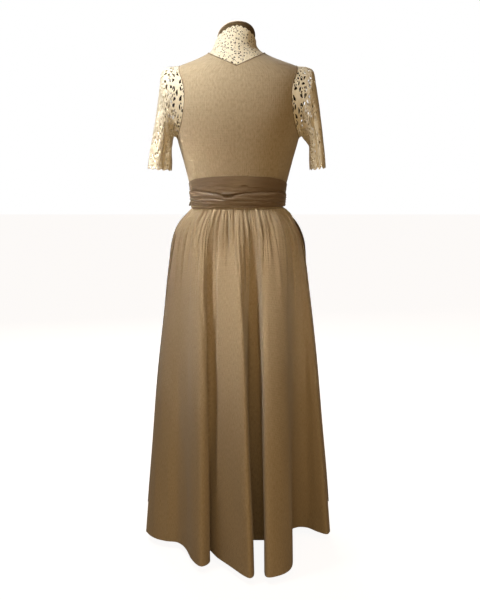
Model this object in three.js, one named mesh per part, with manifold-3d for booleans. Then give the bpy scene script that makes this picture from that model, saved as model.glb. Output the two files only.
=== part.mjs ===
// A long dirndl worn by a limbless dress form: a fitted bodice with a V-neck behind, a gathered skirt,
// an apron whose ties wrap the waist and fasten in a bow, and a high-necked lace blouse.
// Millimetres, +Z up, the floor at z = 0. The front faces -Y and the wearer's left is +X.
// Heights called "above" are counted from the waist seam.

import * as THREE from "three";
import { mergeVertices } from "three/addons/utils/BufferGeometryUtils.js";
import Module from "manifold-3d";

const wasm = await Module();
wasm.setup();

// Driving dimensions
const waistHeight = 950;
const skirtLength = 930;
const apronLength = 846;
const seamGap = 0.3;
const blouseWall = { inner: 0.8, outer: 2.0 };
const collarWall = { inner: 1.7, outer: 2.9 };
const bodiceWall = { inner: 2.6, outer: 4.4 };
const pipingWall = { inner: 2.6, outer: 5.4 };
const pipingWidth = 3.5;
const skirtThickness = 1.8;
const apronThickness = 1.5;
const apronClearance = 1.1;
const sleeveThickness = 1.4;
const backGathers = 26;
const frontGathers = 18;
const poleRadius = 14;
const foot = { sideReach: 150, depthReach: 190, width: 34, thickness: 12 };
const hub = { lowRadius: 26, topRadius: 20, height: 30 };

// The dress form, section by section: half width, depth behind and before the side seams, how square the
// section is, and how far the neck leans forward and to the wearer's left.
const figure = [
  { above: -152, side: 146, back: 104, front: 98, square: 2.3, lean: 0, shift: 0 },
  { above: -90, side: 139, back: 101, front: 96, square: 2.3, lean: 0, shift: 0 },
  { above: -40, side: 127, back: 93, front: 91, square: 2.3, lean: 0, shift: 0 },
  { above: 0, side: 119, back: 87, front: 87, square: 2.3, lean: 0, shift: 0 },
  { above: 32, side: 119, back: 85, front: 89, square: 2.3, lean: 0, shift: 0 },
  { above: 75, side: 131, back: 89, front: 98, square: 2.25, lean: 0, shift: 0 },
  { above: 129, side: 145, back: 96, front: 107, square: 2.2, lean: 0, shift: 0 },
  { above: 183, side: 160, back: 101, front: 108, square: 2.2, lean: 0, shift: 0 },
  { above: 240, side: 172, back: 102, front: 98, square: 2.2, lean: 0, shift: 0 },
  { above: 295, side: 181, back: 96, front: 84, square: 2.15, lean: 0, shift: 0 },
  { above: 335, side: 185, back: 86, front: 73, square: 2.1, lean: 0, shift: 0 },
  { above: 358, side: 181, back: 77, front: 66, square: 2.05, lean: 0, shift: 0 },
  { above: 376, side: 158, back: 70, front: 60, square: 2, lean: 0, shift: 0 },
  { above: 390, side: 121, back: 66, front: 57, square: 2, lean: -2, shift: 1 },
  { above: 402, side: 92, back: 62, front: 55, square: 2, lean: -4, shift: 3 },
  { above: 413, side: 73, back: 58, front: 54, square: 2, lean: -7, shift: 4 },
  { above: 430, side: 57, back: 53, front: 52, square: 2, lean: -11, shift: 7 },
  { above: 448, side: 52, back: 50, front: 49, square: 2, lean: -15, shift: 6 },
  { above: 465, side: 51, back: 48, front: 47, square: 2, lean: -18, shift: 4 },
  { above: 478, side: 47, back: 45, front: 44, square: 2, lean: -20, shift: 3 },
  { above: 489, side: 39, back: 38, front: 37, square: 2, lean: -21, shift: 2 },
  { above: 498, side: 25, back: 25, front: 24, square: 2, lean: -21, shift: 2 },
  { above: 503, side: 7, back: 7, front: 6, square: 2, lean: -21, shift: 2 },
];
const bust = { above: 172, across: 72, reach: 20, wide: 52, tall: 50 };
const neckJoint = 446;

// Half outlines of the necklines seen from behind and before, and the armhole's oval seen from the side
const backNeck = [
  { across: 74, above: 420 },
  { across: 71, above: 409 },
  { across: 34, above: 391 },
  { across: 0, above: 376 },
];
const frontNeck = [
  { across: 74, above: 420 },
  { across: 69, above: 398 },
  { across: 57, above: 350 },
  { across: 35, above: 292 },
  { across: 0, above: 250 },
];
// The opening runs on past the shoulder, and the neck's middle and the centre seams stand to the left
const neckTop = { out: 14, up: 60 };
const neckShift = 4;
const centreLean = { low: 0, high: 6, top: 400 };
const armhole = { above: 283, tall: 94, back: 65, front: 58, roundness: 0.92 };
const blouseArmhole = { inset: 6, sleeveInset: 9, sleeveClearance: 2.6, shoulderRise: 1.5 };
const blouseHem = 161;
const collar = { seamBack: 430, seamFront: 413, topFront: 446, topBack: 485, rise: 3.4 };
const collarEdge = { scallop: 3, scallops: 14 };
// Lace lattices: cells round and up, and how far their corners wander, in degrees and in rings
const collarLace = { columns: 13, rows: 5, wander: 2.2 };
const sleeveLace = { columns: 11, gapShare: 0.4, wander: 2.6, ringWander: 0.05, scallop: 3, scallops: 9 };
const sleeveRows = [0, 0.8, 1.45, 2.35, 2.95, 3.75, 4.3, 5.1, 5.6, 6.3, 6.85, 8];
const frontLace = { low: 258, rows: 12, columns: 9, pitch: 29, rise: 0.72 };
const frontLaceGap = { reach: 4.6, squash: 0.8, margin: 9 };

// Sleeves: the outer and the inner edge of each ring as seen from behind, and its half depth
const leftSleeve = [
  { outerAcross: 184, outerAbove: 378, innerAcross: 173, innerAbove: 194, halfDepth: 66 },
  { outerAcross: 201, outerAbove: 370, innerAcross: 177, innerAbove: 189, halfDepth: 66 },
  { outerAcross: 209, outerAbove: 345, innerAcross: 179, innerAbove: 180, halfDepth: 64 },
  { outerAcross: 213, outerAbove: 305, innerAcross: 180, innerAbove: 173, halfDepth: 60 },
  { outerAcross: 220, outerAbove: 258, innerAcross: 181, innerAbove: 161, halfDepth: 57 },
  { outerAcross: 230, outerAbove: 204, innerAcross: 181, innerAbove: 145, halfDepth: 55 },
  { outerAcross: 239, outerAbove: 154, innerAcross: 181, innerAbove: 125, halfDepth: 54 },
  { outerAcross: 246, outerAbove: 106, innerAcross: 182, innerAbove: 100, halfDepth: 54 },
];
const rightSleeve = [
  { outerAcross: 184, outerAbove: 378, innerAcross: 173, innerAbove: 194, halfDepth: 66 },
  { outerAcross: 201, outerAbove: 370, innerAcross: 178, innerAbove: 189, halfDepth: 66 },
  { outerAcross: 208, outerAbove: 348, innerAcross: 183, innerAbove: 182, halfDepth: 65 },
  { outerAcross: 214, outerAbove: 306, innerAcross: 189, innerAbove: 176, halfDepth: 63 },
  { outerAcross: 222, outerAbove: 255, innerAcross: 194, innerAbove: 166, halfDepth: 61 },
  { outerAcross: 229, outerAbove: 204, innerAcross: 195, innerAbove: 148, halfDepth: 61 },
  { outerAcross: 235, outerAbove: 154, innerAcross: 196, innerAbove: 126, halfDepth: 61 },
  { outerAcross: 239, outerAbove: 108, innerAcross: 197, innerAbove: 102, halfDepth: 61 },
];

// The skirt's half width and mean depths down its length
const skirtFlare = [
  { below: 0, side: 122.5, back: 90.5, front: 90.5, square: 2.3 },
  { below: 6, side: 124, back: 92, front: 92, square: 2.3 },
  { below: 16, side: 132, back: 100, front: 99, square: 2.3 },
  { below: 35, side: 147, back: 114, front: 112, square: 2.25 },
  { below: 62, side: 161, back: 126, front: 124, square: 2.2 },
  { below: 90, side: 170, back: 134, front: 132, square: 2.15 },
  { below: 146, side: 182, back: 144, front: 143, square: 2.1 },
  { below: 258, side: 200, back: 158, front: 161, square: 2.05 },
  { below: 428, side: 220, back: 175, front: 183, square: 2 },
  { below: 688, side: 244, back: 197, front: 211, square: 2 },
  { below: 930, side: 264, back: 212, front: 228, square: 2 },
];
// Each edge of the skirt's back folds: its place round the waist in degrees from the centre back, positive to
// the wearer's left, and where it hangs at the hem, across and behind.
const backFolds = [
  { waist: 90, across: 264, back: 0 },
  { waist: 78, across: 241, back: 46 },
  { waist: 67, across: 202, back: 76 },
  { waist: 57, across: 168, back: 86 },
  { waist: 48, across: 143, back: 134 },
  { waist: 40, across: 123, back: 216 },
  { waist: 33, across: 97, back: 260 },
  { waist: 28, across: 75, back: 228 },
  { waist: 25, across: 81, back: 142 },
  { waist: 18, across: 54, back: 200 },
  { waist: 9, across: 14, back: 268 },
  { waist: 1, across: -28, back: 338 },
  { waist: -1, across: -42, back: 316 },
  { waist: -4, across: -38, back: 208 },
  { waist: -8, across: -30, back: 80 },
  { waist: -13, across: -76, back: 76 },
  { waist: -17, across: -73, back: 206 },
  { waist: -21, across: -70, back: 318 },
  { waist: -26, across: -84, back: 334 },
  { waist: -34, across: -124, back: 302 },
  { waist: -42, across: -144, back: 250 },
  { waist: -49, across: -147, back: 94 },
  { waist: -56, across: -152, back: -8 },
  { waist: -62, across: -173, back: -34 },
  { waist: -70, across: -203, back: -30 },
  { waist: -77, across: -230, back: 4 },
  { waist: -84, across: -253, back: 22 },
  { waist: -90, across: -264, back: 0 },
];
const frontFold = { count: 6, depth: 26, squash: 0.75 };
const gatherDepth = [
  { below: 0, depth: 0.9 },
  { below: 12, depth: 2.4 },
  { below: 45, depth: 5 },
  { below: 100, depth: 5.5 },
  { below: 190, depth: 2.5 },
  { below: 300, depth: 0 },
];

// Apron ties: the height of a tie's middle round the waist and its half width, from the band's end to the bow.
// The under tie starts at the wearer's right and spreads wide over the back. The over tie starts at the left.
const underTiePath = [
  { angle: -105, above: 30, half: 16 },
  { angle: -70, above: 46, half: 26 },
  { angle: -30, above: 57, half: 30 },
  { angle: 25, above: 58, half: 30 },
  { angle: 70, above: 48, half: 26 },
  { angle: 110, above: 28, half: 16 },
  { angle: 165, above: 20, half: 13 },
];
const overTiePath = [
  { angle: -180, above: 20, half: 13 },
  { angle: -100, above: 18, half: 16 },
  { angle: -50, above: 20, half: 19 },
  { angle: 0, above: 28, half: 25 },
  { angle: 55, above: 30, half: 26 },
  { angle: 105, above: 26, half: 16 },
];
const underTieInner = 7.8;
const overTieInner = 11.2;
const tieFold = { depth: 1.4, count: 3 };
const tieThickness = 1.2;
const waistband = { low: 0, high: 40, inner: 5.2, outer: 6.8, reach: 75 };
const bow = { angle: 172.5, above: 20, inner: 7.9, knotWidth: 22, knotHeight: 34, knotDepth: 13 };
const bowLoop = { length: 66, width: 40, depth: 10, droop: 12, inner: 15 };
const bowTail = { length: 300, width: 40, narrow: 0.35, spread: 16, inner: 8.2, tuck: 2.8 };
const bowTailFold = { count: 2.5, depth: 1.6 };
// How far each tail drops back from the knot's depth to lie on the apron
const tailSettle = { left: 3.4, right: 2.9 };

const rad = THREE.MathUtils.degToRad;
const up = new THREE.Vector3(0, 0, 1);

// Tables and curves

// A smooth value of one column of a table at any place along it. The table rises along its first column.
function column(table, along, key) {
  const last = table.length - 1;
  const slope = (i) => {
    const a = table[Math.max(0, i - 1)];
    const b = table[Math.min(last, i + 1)];
    return (b[key] - a[key]) / (b[along] - a[along]);
  };
  return (place) => {
    let i = 0;
    while (i < last - 1 && place > table[i + 1][along]) i += 1;
    const step = table[i + 1][along] - table[i][along];
    const t = THREE.MathUtils.clamp((place - table[i][along]) / step, 0, 1);
    const t2 = t * t;
    const t3 = t2 * t;
    return (
      (2 * t3 - 3 * t2 + 1) * table[i][key] +
      (t3 - 2 * t2 + t) * step * slope(i) +
      (3 * t2 - 2 * t3) * table[i + 1][key] +
      (t3 - t2) * step * slope(i + 1)
    );
  };
}

const range = (count) => Array.from({ length: count }, (_, i) => i);
const spread = (from, to, count) => range(count + 1).map((i) => from + ((to - from) * i) / count);
const power = (value, exponent) => Math.sign(value) * Math.abs(value) ** exponent;

// The body's surface

const sectionOf = Object.fromEntries(
  ["side", "back", "front", "square", "lean", "shift"].map((key) => [key, column(figure, "above", key)]),
);

// The figure's skin at an angle in degrees from the centre back, positive to the wearer's left
function skin(angle, above) {
  const sine = Math.sin(rad(angle));
  const cosine = Math.cos(rad(angle));
  const exponent = 2 / sectionOf.square(above);
  const across = sectionOf.side(above) * power(sine, exponent);
  const depth = cosine > 0 ? sectionOf.back(above) : sectionOf.front(above);
  let behind = depth * power(cosine, exponent) + sectionOf.lean(above);
  if (cosine < 0) {
    const wide = (Math.abs(across) - bust.across) / bust.wide;
    const tall = (above - bust.above) / bust.tall;
    behind -= bust.reach * Math.exp(-wide * wide - tall * tall) * Math.min(1, -cosine * 2);
  }
  return new THREE.Vector3(across + sectionOf.shift(above), behind, waistHeight + above);
}

// The outward direction of a surface given by angle and height
function outward(surface, angle, above) {
  const nudge = 0.8;
  const around = surface(angle - nudge, above).sub(surface(angle + nudge, above));
  const rise = surface(angle, above + nudge).sub(surface(angle, above - nudge));
  return around.cross(rise).normalize();
}

// Meshes

function indexed(points, triangles) {
  const geometry = new THREE.BufferGeometry();
  geometry.setAttribute("position", new THREE.Float32BufferAttribute(points.flatMap((p) => p.toArray()), 3));
  geometry.setIndex(triangles.flat());
  geometry.computeVertexNormals();
  return geometry;
}

// Triangles between two rows of points, zipped by each point's place along its row
function zip(upper, lower) {
  const triangles = [];
  let i = 0;
  let j = 0;
  while (i < upper.length - 1 || j < lower.length - 1) {
    const nextUpper = i < upper.length - 1 ? upper[i + 1].place : Infinity;
    const nextLower = j < lower.length - 1 ? lower[j + 1].place : Infinity;
    if (nextUpper <= nextLower) {
      triangles.push([upper[i].id, upper[i + 1].id, lower[j].id]);
      i += 1;
    } else {
      triangles.push([upper[i].id, lower[j + 1].id, lower[j].id]);
      j += 1;
    }
  }
  return triangles;
}

// A cloth wall from rows of { place, outer, inner }, listed from the top down, and along each row from right
// to left as seen from outside. A closed wall joins its row ends, and gap(row, cell) leaves a cell open
// between two rows of equal length.
function wall(rows, { closed = false, gap = null } = {}) {
  const points = [];
  const numbered = rows.map((row) => {
    const marked = row.map((p) => ({ ...p, id: points.push(p) - 1 }));
    if (closed) marked.push({ ...marked[0], place: 1 });
    return marked;
  });
  const skinFaces = [];
  for (let r = 0; r + 1 < numbered.length; r += 1) {
    const [upper, lower] = [numbered[r], numbered[r + 1]];
    if (upper.length !== lower.length) {
      skinFaces.push(...zip(upper, lower));
      continue;
    }
    for (let c = 0; c + 1 < upper.length; c += 1) {
      if (gap && gap(r, c)) continue;
      skinFaces.push([upper[c].id, upper[c + 1].id, lower[c + 1].id]);
      skinFaces.push([upper[c].id, lower[c + 1].id, lower[c].id]);
    }
  }
  const total = points.length;
  const edges = new Set(skinFaces.flatMap(([a, b, c]) => [`${a},${b}`, `${b},${c}`, `${c},${a}`]));
  const rims = [...edges]
    .map((edge) => edge.split(",").map(Number))
    .filter(([a, b]) => !edges.has(`${b},${a}`))
    .flatMap(([a, b]) => [
      [b, a, a + total],
      [b, a + total, b + total],
    ]);
  const lining = skinFaces.map(([a, b, c]) => [a + total, c + total, b + total]);
  const bothSides = [...points.map((p) => p.outer), ...points.map((p) => p.inner)];
  return indexed(bothSides, [...skinFaces, ...lining, ...rims]);
}

// A wall point on a surface, between two distances from it
function layer(surface, angle, above, { inner, outer }, place) {
  const base = surface(angle, above);
  const direction = outward(surface, angle, above);
  return {
    place,
    outer: base.clone().addScaledVector(direction, outer),
    inner: base.clone().addScaledVector(direction, inner),
  };
}

// A solid through closed rings of points, listed from the bottom up, with flat ends
function loft(rings) {
  const count = rings[0].length;
  const points = rings.flat();
  const triangles = [];
  for (let r = 0; r + 1 < rings.length; r += 1) {
    range(count).forEach((i) => {
      const a = r * count + i;
      const b = r * count + ((i + 1) % count);
      triangles.push([a, b, b + count], [a, b + count, a + count]);
    });
  }
  [0, rings.length - 1].forEach((r) => {
    const centre = points.length;
    const middle = new THREE.Vector3();
    rings[r].forEach((p) => middle.add(p));
    points.push(middle.divideScalar(count));
    range(count).forEach((i) => {
      const a = r * count + i;
      const b = r * count + ((i + 1) % count);
      triangles.push(r === 0 ? [centre, b, a] : [centre, a, b]);
    });
  });
  return indexed(points, triangles);
}

// Booleans

function solid(geometry) {
  const bare = new THREE.BufferGeometry();
  bare.setAttribute("position", geometry.getAttribute("position"));
  if (geometry.index) bare.setIndex(geometry.index);
  const merged = mergeVertices(bare, 1e-4);
  const { array } = merged.getAttribute("position");
  const mesh = new wasm.Mesh({
    numProp: 3,
    vertProperties: new Float32Array(array),
    triVerts: new Uint32Array(merged.index.array),
  });
  return new wasm.Manifold(mesh);
}

function geometryOf(manifold) {
  const mesh = manifold.getMesh();
  const geometry = new THREE.BufferGeometry();
  const points = new Float32Array(mesh.numVert * 3);
  range(mesh.numVert).forEach((i) => {
    const at = i * mesh.numProp;
    points.set(mesh.vertProperties.subarray(at, at + 3), i * 3);
  });
  geometry.setAttribute("position", new THREE.BufferAttribute(points, 3));
  geometry.setIndex([...mesh.triVerts]);
  geometry.computeVertexNormals();
  return geometry;
}

function block(low, high) {
  const size = new THREE.Vector3(...high).sub(new THREE.Vector3(...low));
  const middle = new THREE.Vector3(...high).add(new THREE.Vector3(...low)).multiplyScalar(0.5);
  return solid(new THREE.BoxGeometry(size.x, size.y, size.z).translate(middle.x, middle.y, middle.z));
}

const farSide = 400;
const tall = 2000;
const behindHalf = block([-farSide, seamGap / 2, 0], [farSide, farSide, tall]);
const beforeHalf = block([-farSide, -farSide, 0], [farSide, -seamGap / 2, tall]);
const leftHalf = sideHalf(1);
const rightHalf = sideHalf(-1);

// Everything on one side of the centre seams, which lean with the neck
function sideHalf(side) {
  const edge = (across) => across + (side * seamGap) / 2;
  const shape = new THREE.Shape([
    new THREE.Vector2(edge(centreLean.low), waistHeight - 1),
    new THREE.Vector2(edge(centreLean.high), waistHeight + centreLean.top),
    new THREE.Vector2(edge(centreLean.high), waistHeight + tall),
    new THREE.Vector2(side * farSide, waistHeight + tall),
    new THREE.Vector2(side * farSide, waistHeight - 1),
  ]);
  const geometry = new THREE.ExtrudeGeometry(shape, { depth: farSide * 2, bevelEnabled: false });
  return solid(geometry.rotateX(Math.PI / 2).translate(0, farSide, 0));
}

// A prism along Y through an outline of { across, above } points, from y = 0 to the front or the back
function frontalPrism(outline, direction) {
  const overlap = 0.05;
  const place = (p) => new THREE.Vector2(p.across + neckShift, waistHeight + p.above);
  const shape = new THREE.Shape(outline.map(place));
  const geometry = new THREE.ExtrudeGeometry(shape, { depth: farSide, bevelEnabled: false });
  geometry.rotateX(Math.PI / 2);
  geometry.translate(0, direction > 0 ? farSide - overlap : overlap, 0);
  return solid(geometry);
}

// Necklines: the open side of each is cut away. A positive inset moves the edge into the opening.
function neckOutline(points, inset) {
  const right = points.map((p, i) => {
    const before = points[Math.max(0, i - 1)];
    const after = points[Math.min(points.length - 1, i + 1)];
    const run = new THREE.Vector2(after.across - before.across, after.above - before.above).normalize();
    const mitre = 1.3;
    return p.across === 0
      ? { across: 0, above: p.above + inset * mitre }
      : { across: p.across + run.y * inset, above: p.above - run.x * inset };
  });
  const top = { across: points[0].across + neckTop.out - inset, above: points[0].above + neckTop.up };
  const half = [top, ...right];
  const mirrored = half
    .slice(0, -1)
    .reverse()
    .map((p) => ({ across: -p.across, above: p.above }));
  return [...half, ...mirrored];
}

function smoothNeck(points, count) {
  const curve = new THREE.SplineCurve(points.map((p) => new THREE.Vector2(p.across, p.above)));
  return curve.getPoints(count).map((p) => ({ across: Math.abs(p.x) < 1e-6 ? 0 : p.x, above: p.y }));
}

const frontNeckPoints = smoothNeck(frontNeck, 8);
const neckCut = (inset) =>
  frontalPrism(neckOutline(backNeck, inset), 1).add(frontalPrism(neckOutline(frontNeckPoints, inset), -1));

// A point of the armhole's oval, counted in degrees from its top towards the back
function armholePoint(turn, inset) {
  const sine = Math.sin(rad(turn));
  const depth = (sine > 0 ? armhole.back : armhole.front) - inset;
  return {
    behind: depth * power(sine, armhole.roundness),
    above: armhole.above + (armhole.tall - inset) * power(Math.cos(rad(turn)), armhole.roundness),
  };
}

function armholeCut(side, inset) {
  const outline = spread(0, 360, 16).slice(0, -1).map((turn) => armholePoint(turn, inset));
  const shape = new THREE.Shape(outline.map((p) => new THREE.Vector2(p.behind, waistHeight + p.above)));
  const reach = 260;
  const start = 90;
  const geometry = new THREE.ExtrudeGeometry(shape, { depth: reach, bevelEnabled: false });
  // Extruded along Z from the outline's own plane: turn it so that the outline lies in the Y-Z plane
  geometry.applyMatrix4(
    new THREE.Matrix4().makeBasis(new THREE.Vector3(0, 1, 0), up, new THREE.Vector3(1, 0, 0)),
  );
  geometry.translate(side > 0 ? start : -start - reach, 0, 0);
  return solid(geometry);
}

const bothArmholes = (inset) => armholeCut(1, inset).add(armholeCut(-1, inset));

// Dress form

const roundCount = 24;
const roundStep = 360 / roundCount;
const roundAngles = range(roundCount).map((i) => i * roundStep);
// Rows that the form, the blouse and the bodice share, so that their facets lie parallel
const bodyHeights = [0, 34, 74, 118, 162, 208, 256, 300, 336, 357, 371, 383, 394, 405, 417, 431];
const hipHeights = [-152, -100, -50];
const capHeights = [neckJoint, 460, 472, 482, 491, 500];
const capColumns = 18;

function torso() {
  const heights = [...hipHeights, ...bodyHeights, neckJoint - seamGap];
  return loft(heights.map((above) => roundAngles.map((angle) => skin(-angle, above))));
}

function neckCap() {
  const angles = range(capColumns).map((i) => (i * 360) / capColumns);
  return loft(capHeights.map((above) => angles.map((angle) => skin(-angle, above))));
}

function pole() {
  const low = hub.height + seamGap;
  const length = waistHeight + figure[0].above - seamGap - low;
  const tube = new THREE.CylinderGeometry(poleRadius, poleRadius, length, 20);
  tube.rotateX(Math.PI / 2);
  tube.translate(0, 0, low + length / 2);
  return tube;
}

// One bar of the foot, with round ends
function footBar(reach) {
  const half = foot.width / 2;
  const shape = new THREE.Shape();
  shape.absarc(reach - half, 0, half, -Math.PI / 2, Math.PI / 2, false);
  shape.absarc(half - reach, 0, half, Math.PI / 2, Math.PI * 1.5, false);
  return new THREE.ExtrudeGeometry(shape, { depth: foot.thickness, bevelEnabled: false, curveSegments: 5 });
}

// A flat cross of two bars with a raised hub that takes the pole
function base() {
  const boss = new THREE.CylinderGeometry(hub.topRadius, hub.lowRadius, hub.height, 16);
  boss.rotateX(Math.PI / 2).translate(0, 0, hub.height / 2);
  return solid(footBar(foot.sideReach))
    .add(solid(footBar(foot.depthReach).rotateZ(Math.PI / 2)))
    .add(solid(boss));
}

// Bodice and its pipings

const ringFromRight = roundAngles.map((angle) => angle - 180);

function bodyShell(heights, thickness) {
  const rows = [...heights]
    .reverse()
    .map((above) => ringFromRight.map((angle, i) => layer(skin, angle, above, thickness, i / roundCount)));
  return solid(wall(rows, { closed: true }));
}

function bodicePanels() {
  const shell = bodyShell([seamGap / 2, ...bodyHeights.slice(1)], bodiceWall)
    .subtract(bothArmholes(0))
    .subtract(neckCut(0));
  const behind = shell.intersect(behindHalf);
  const before = shell.intersect(beforeHalf);
  return {
    bodice_back_left: behind.intersect(leftHalf),
    bodice_back_right: behind.intersect(rightHalf),
    bodice_front_left: before.intersect(leftHalf),
    bodice_front_right: before.intersect(rightHalf),
  };
}

function pipings() {
  const shell = bodyShell(bodyHeights.slice(4), pipingWall);
  const edge = (cut) => shell.intersect(cut(seamGap)).subtract(cut(seamGap + pipingWidth));
  const neck = edge(neckCut);
  const nearNeck = block([-110, -farSide, 0], [110, farSide, tall]);
  return {
    neck_piping_left: neck.intersect(nearNeck).intersect(leftHalf),
    neck_piping_right: neck.intersect(nearNeck).intersect(rightHalf),
    armhole_piping_left: edge((inset) => armholeCut(1, inset)),
    armhole_piping_right: edge((inset) => armholeCut(-1, inset)),
  };
}

// Lace blouse

const collarSeam = (angle) =>
  collar.seamFront + ((collar.seamBack - collar.seamFront) * (1 + Math.cos(rad(angle)))) / 2;
const collarTop = (angle) => {
  const share = ((1 + Math.cos(rad(angle))) / 2) ** collar.rise;
  const scallop = Math.abs(Math.cos((rad(angle) * collarEdge.scallops) / 2));
  return collar.topFront + (collar.topBack - collar.topFront) * share + collarEdge.scallop * (scallop - 1);
};

// Small diamonds cut through the lace that shows in a neckline, on a staggered lattice
function laceGaps(outline, direction) {
  const { low, rows, columns, pitch, rise } = frontLace;
  const { reach, squash, margin } = frontLaceGap;
  const polygon = outline.map((p) => new THREE.Vector2(p.across, p.above));
  const clear = (x, y) =>
    [-1, 1].every((s) => within(polygon, x + s * margin, y)) &&
    within(polygon, x, y - margin) &&
    y < collar.seamFront - margin;
  const cuts = [];
  range(rows).forEach((row) => {
    range(columns).forEach((i) => {
      const across = (i - (columns - 1) / 2 + (row % 2) / 2) * pitch;
      const above = low + row * pitch * rise;
      if (!clear(across, above)) return;
      const diamond = [
        { across: across - reach, above },
        { across: across + (row % 2), above: above - reach * squash },
        { across: across + reach, above },
        { across, above: above + reach * squash },
      ];
      cuts.push(frontalPrism(diamond, direction));
    });
  });
  return cuts;
}

function within(polygon, x, y) {
  let odd = false;
  polygon.forEach((a, i) => {
    const b = polygon[(i + 1) % polygon.length];
    if (a.y > y !== b.y > y && x < ((b.x - a.x) * (y - a.y)) / (b.y - a.y) + a.x) odd = !odd;
  });
  return odd;
}

// Everything above the collar's seam, a plane that rises to the back of the neck
function aboveCollarSeam() {
  const [yFront, yBack] = [skin(180, collar.seamFront).y, skin(0, collar.seamBack).y];
  const slope = (collar.seamBack - collar.seamFront) / (yBack - yFront);
  const height = (y) => waistHeight + collar.seamFront + slope * (y - yFront);
  const shape = new THREE.Shape([
    new THREE.Vector2(-farSide, height(-farSide)),
    new THREE.Vector2(farSide, height(farSide)),
    new THREE.Vector2(farSide, tall * 2),
    new THREE.Vector2(-farSide, tall * 2),
  ]);
  const geometry = new THREE.ExtrudeGeometry(shape, { depth: farSide * 2, bevelEnabled: false });
  geometry.applyMatrix4(
    new THREE.Matrix4().makeBasis(new THREE.Vector3(0, 1, 0), up, new THREE.Vector3(1, 0, 0)),
  );
  return solid(geometry.translate(-farSide, 0, 0));
}

function blouseBody() {
  const body = bodyShell(bodyHeights.filter((above) => above > blouseHem), blouseWall)
    .subtract(bothArmholes(blouseArmhole.inset))
    .subtract(aboveCollarSeam());
  const outline = frontNeckPoints.concat(mirrorAcross(frontNeckPoints));
  const front = laceGaps(outline, -1).reduce((rest, cut) => rest.subtract(cut), body.intersect(beforeHalf));
  return { blouse_back: body.intersect(behindHalf), blouse_front: front };
}

const mirrorAcross = (points) =>
  [...points]
    .reverse()
    .filter((p) => p.across !== 0)
    .map((p) => ({ across: -p.across, above: p.above }));

// Places from 0 to 1 along a row whose odd cells are gaps that take a share of each pair of cells
function uneven(cells, share) {
  const at = (i) => Math.ceil(i / 2) * (1 - share) + Math.floor(i / 2) * share;
  return range(cells + 1).map((i) => at(i) / at(cells));
}

// One half of the stand collar, cut through between its motifs
function collarHalf(side) {
  const { columns, rows, wander } = collarLace;
  const edge = 0.25;
  const angles = side > 0 ? spread(edge, 180 - edge, columns) : spread(-180 + edge, -edge, columns);
  const wallRows = spread(1, 0, rows).map((share, row) =>
    angles.map((angle, i) => {
      const free = row > 0 && row < rows && i > 0 && i < columns;
      const at = free ? angle + wander * Math.sin(i * 2.1 + row * 1.7) : angle;
      const low = collarSeam(at) + seamGap * 2;
      return layer(skin, at, low + (collarTop(at) - low) * share, collarWall, i / columns);
    }),
  );
  return wall(wallRows, { gap: (row, cell) => row % 2 === 1 && cell % 2 === 1 && row < rows - 1 });
}

// A sleeve's surface: turn is counted in degrees from the shoulder over the back, ring 0 is the armhole edge
function sleeveSurface(table, side) {
  const rings = table.map((row, i) => ({ ring: i + 1, ...row }));
  const keys = ["outerAcross", "outerAbove", "innerAcross", "innerAbove", "halfDepth"];
  const smooth = Object.fromEntries(keys.map((key) => [key, column(rings, "ring", key)]));
  const free = (turn, ring) => {
    const [a, b, c, d, e] = keys.map((key) => smooth[key](ring));
    const cosine = Math.cos(rad(turn));
    return new THREE.Vector3(
      (a + c) / 2 + (cosine * (a - c)) / 2,
      e * Math.sin(rad(turn)),
      waistHeight + (b + d) / 2 + (cosine * (b - d)) / 2,
    );
  };
  const seated = (turn) => {
    const { sleeveInset, sleeveClearance, shoulderRise } = blouseArmhole;
    const p = armholePoint(turn, sleeveInset);
    const depth = p.behind > 0 ? sectionOf.back(p.above) : sectionOf.front(p.above);
    const square = sectionOf.square(p.above);
    const share = Math.max(0, 1 - (Math.abs(p.behind) / depth) ** square);
    const across = sectionOf.side(p.above) * share ** (1 / square) + sleeveClearance;
    return new THREE.Vector3(across, p.behind, waistHeight + p.above + shoulderRise * Math.cos(rad(turn)));
  };
  return (turn, ring) => {
    const point = ring >= 1 ? free(turn, ring) : seated(turn).lerp(free(turn, 1), Math.max(0, ring));
    point.x *= side;
    return point;
  };
}

// Half a sleeve, front or back, as a wall with a lattice of gaps
function sleeveHalf(table, side, from, to) {
  const { columns, gapShare, wander, ringWander, scallop, scallops } = sleeveLace;
  const surface = sleeveSurface(table, side);
  const edge = 0.22;
  const [low, high] = [from + edge, to - edge];
  const shares = uneven(columns, gapShare);
  const turns = shares.map((share) => (side > 0 ? high + (low - high) * share : low + (high - low) * share));
  const last = sleeveRows.length - 1;
  const rows = sleeveRows.map((ring, r) =>
    turns.map((turn, i) => {
      const free = r > 0 && r < last && i > 0 && i < columns;
      const at = free ? turn + wander * Math.sin(i * 1.9 + r * 2.3) : turn;
      const place = free ? ring + ringWander * Math.sin(i * 2.7 + r) : ring;
      const drop = r === last ? scallop * Math.abs(Math.sin(rad((turn * scallops) / 2))) : 0;
      const outwardStep = sleeveOutward(surface, at, place);
      const base = surface(at, place).addScaledVector(up, -drop);
      return {
        place: i / columns,
        outer: base.clone().addScaledVector(outwardStep, sleeveThickness / 2),
        inner: base.clone().addScaledVector(outwardStep, -sleeveThickness / 2),
      };
    }),
  );
  return wall(rows, { gap: (row, cell) => row % 2 === 1 && cell % 2 === 1 && cell < columns - 1 });
}

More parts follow.
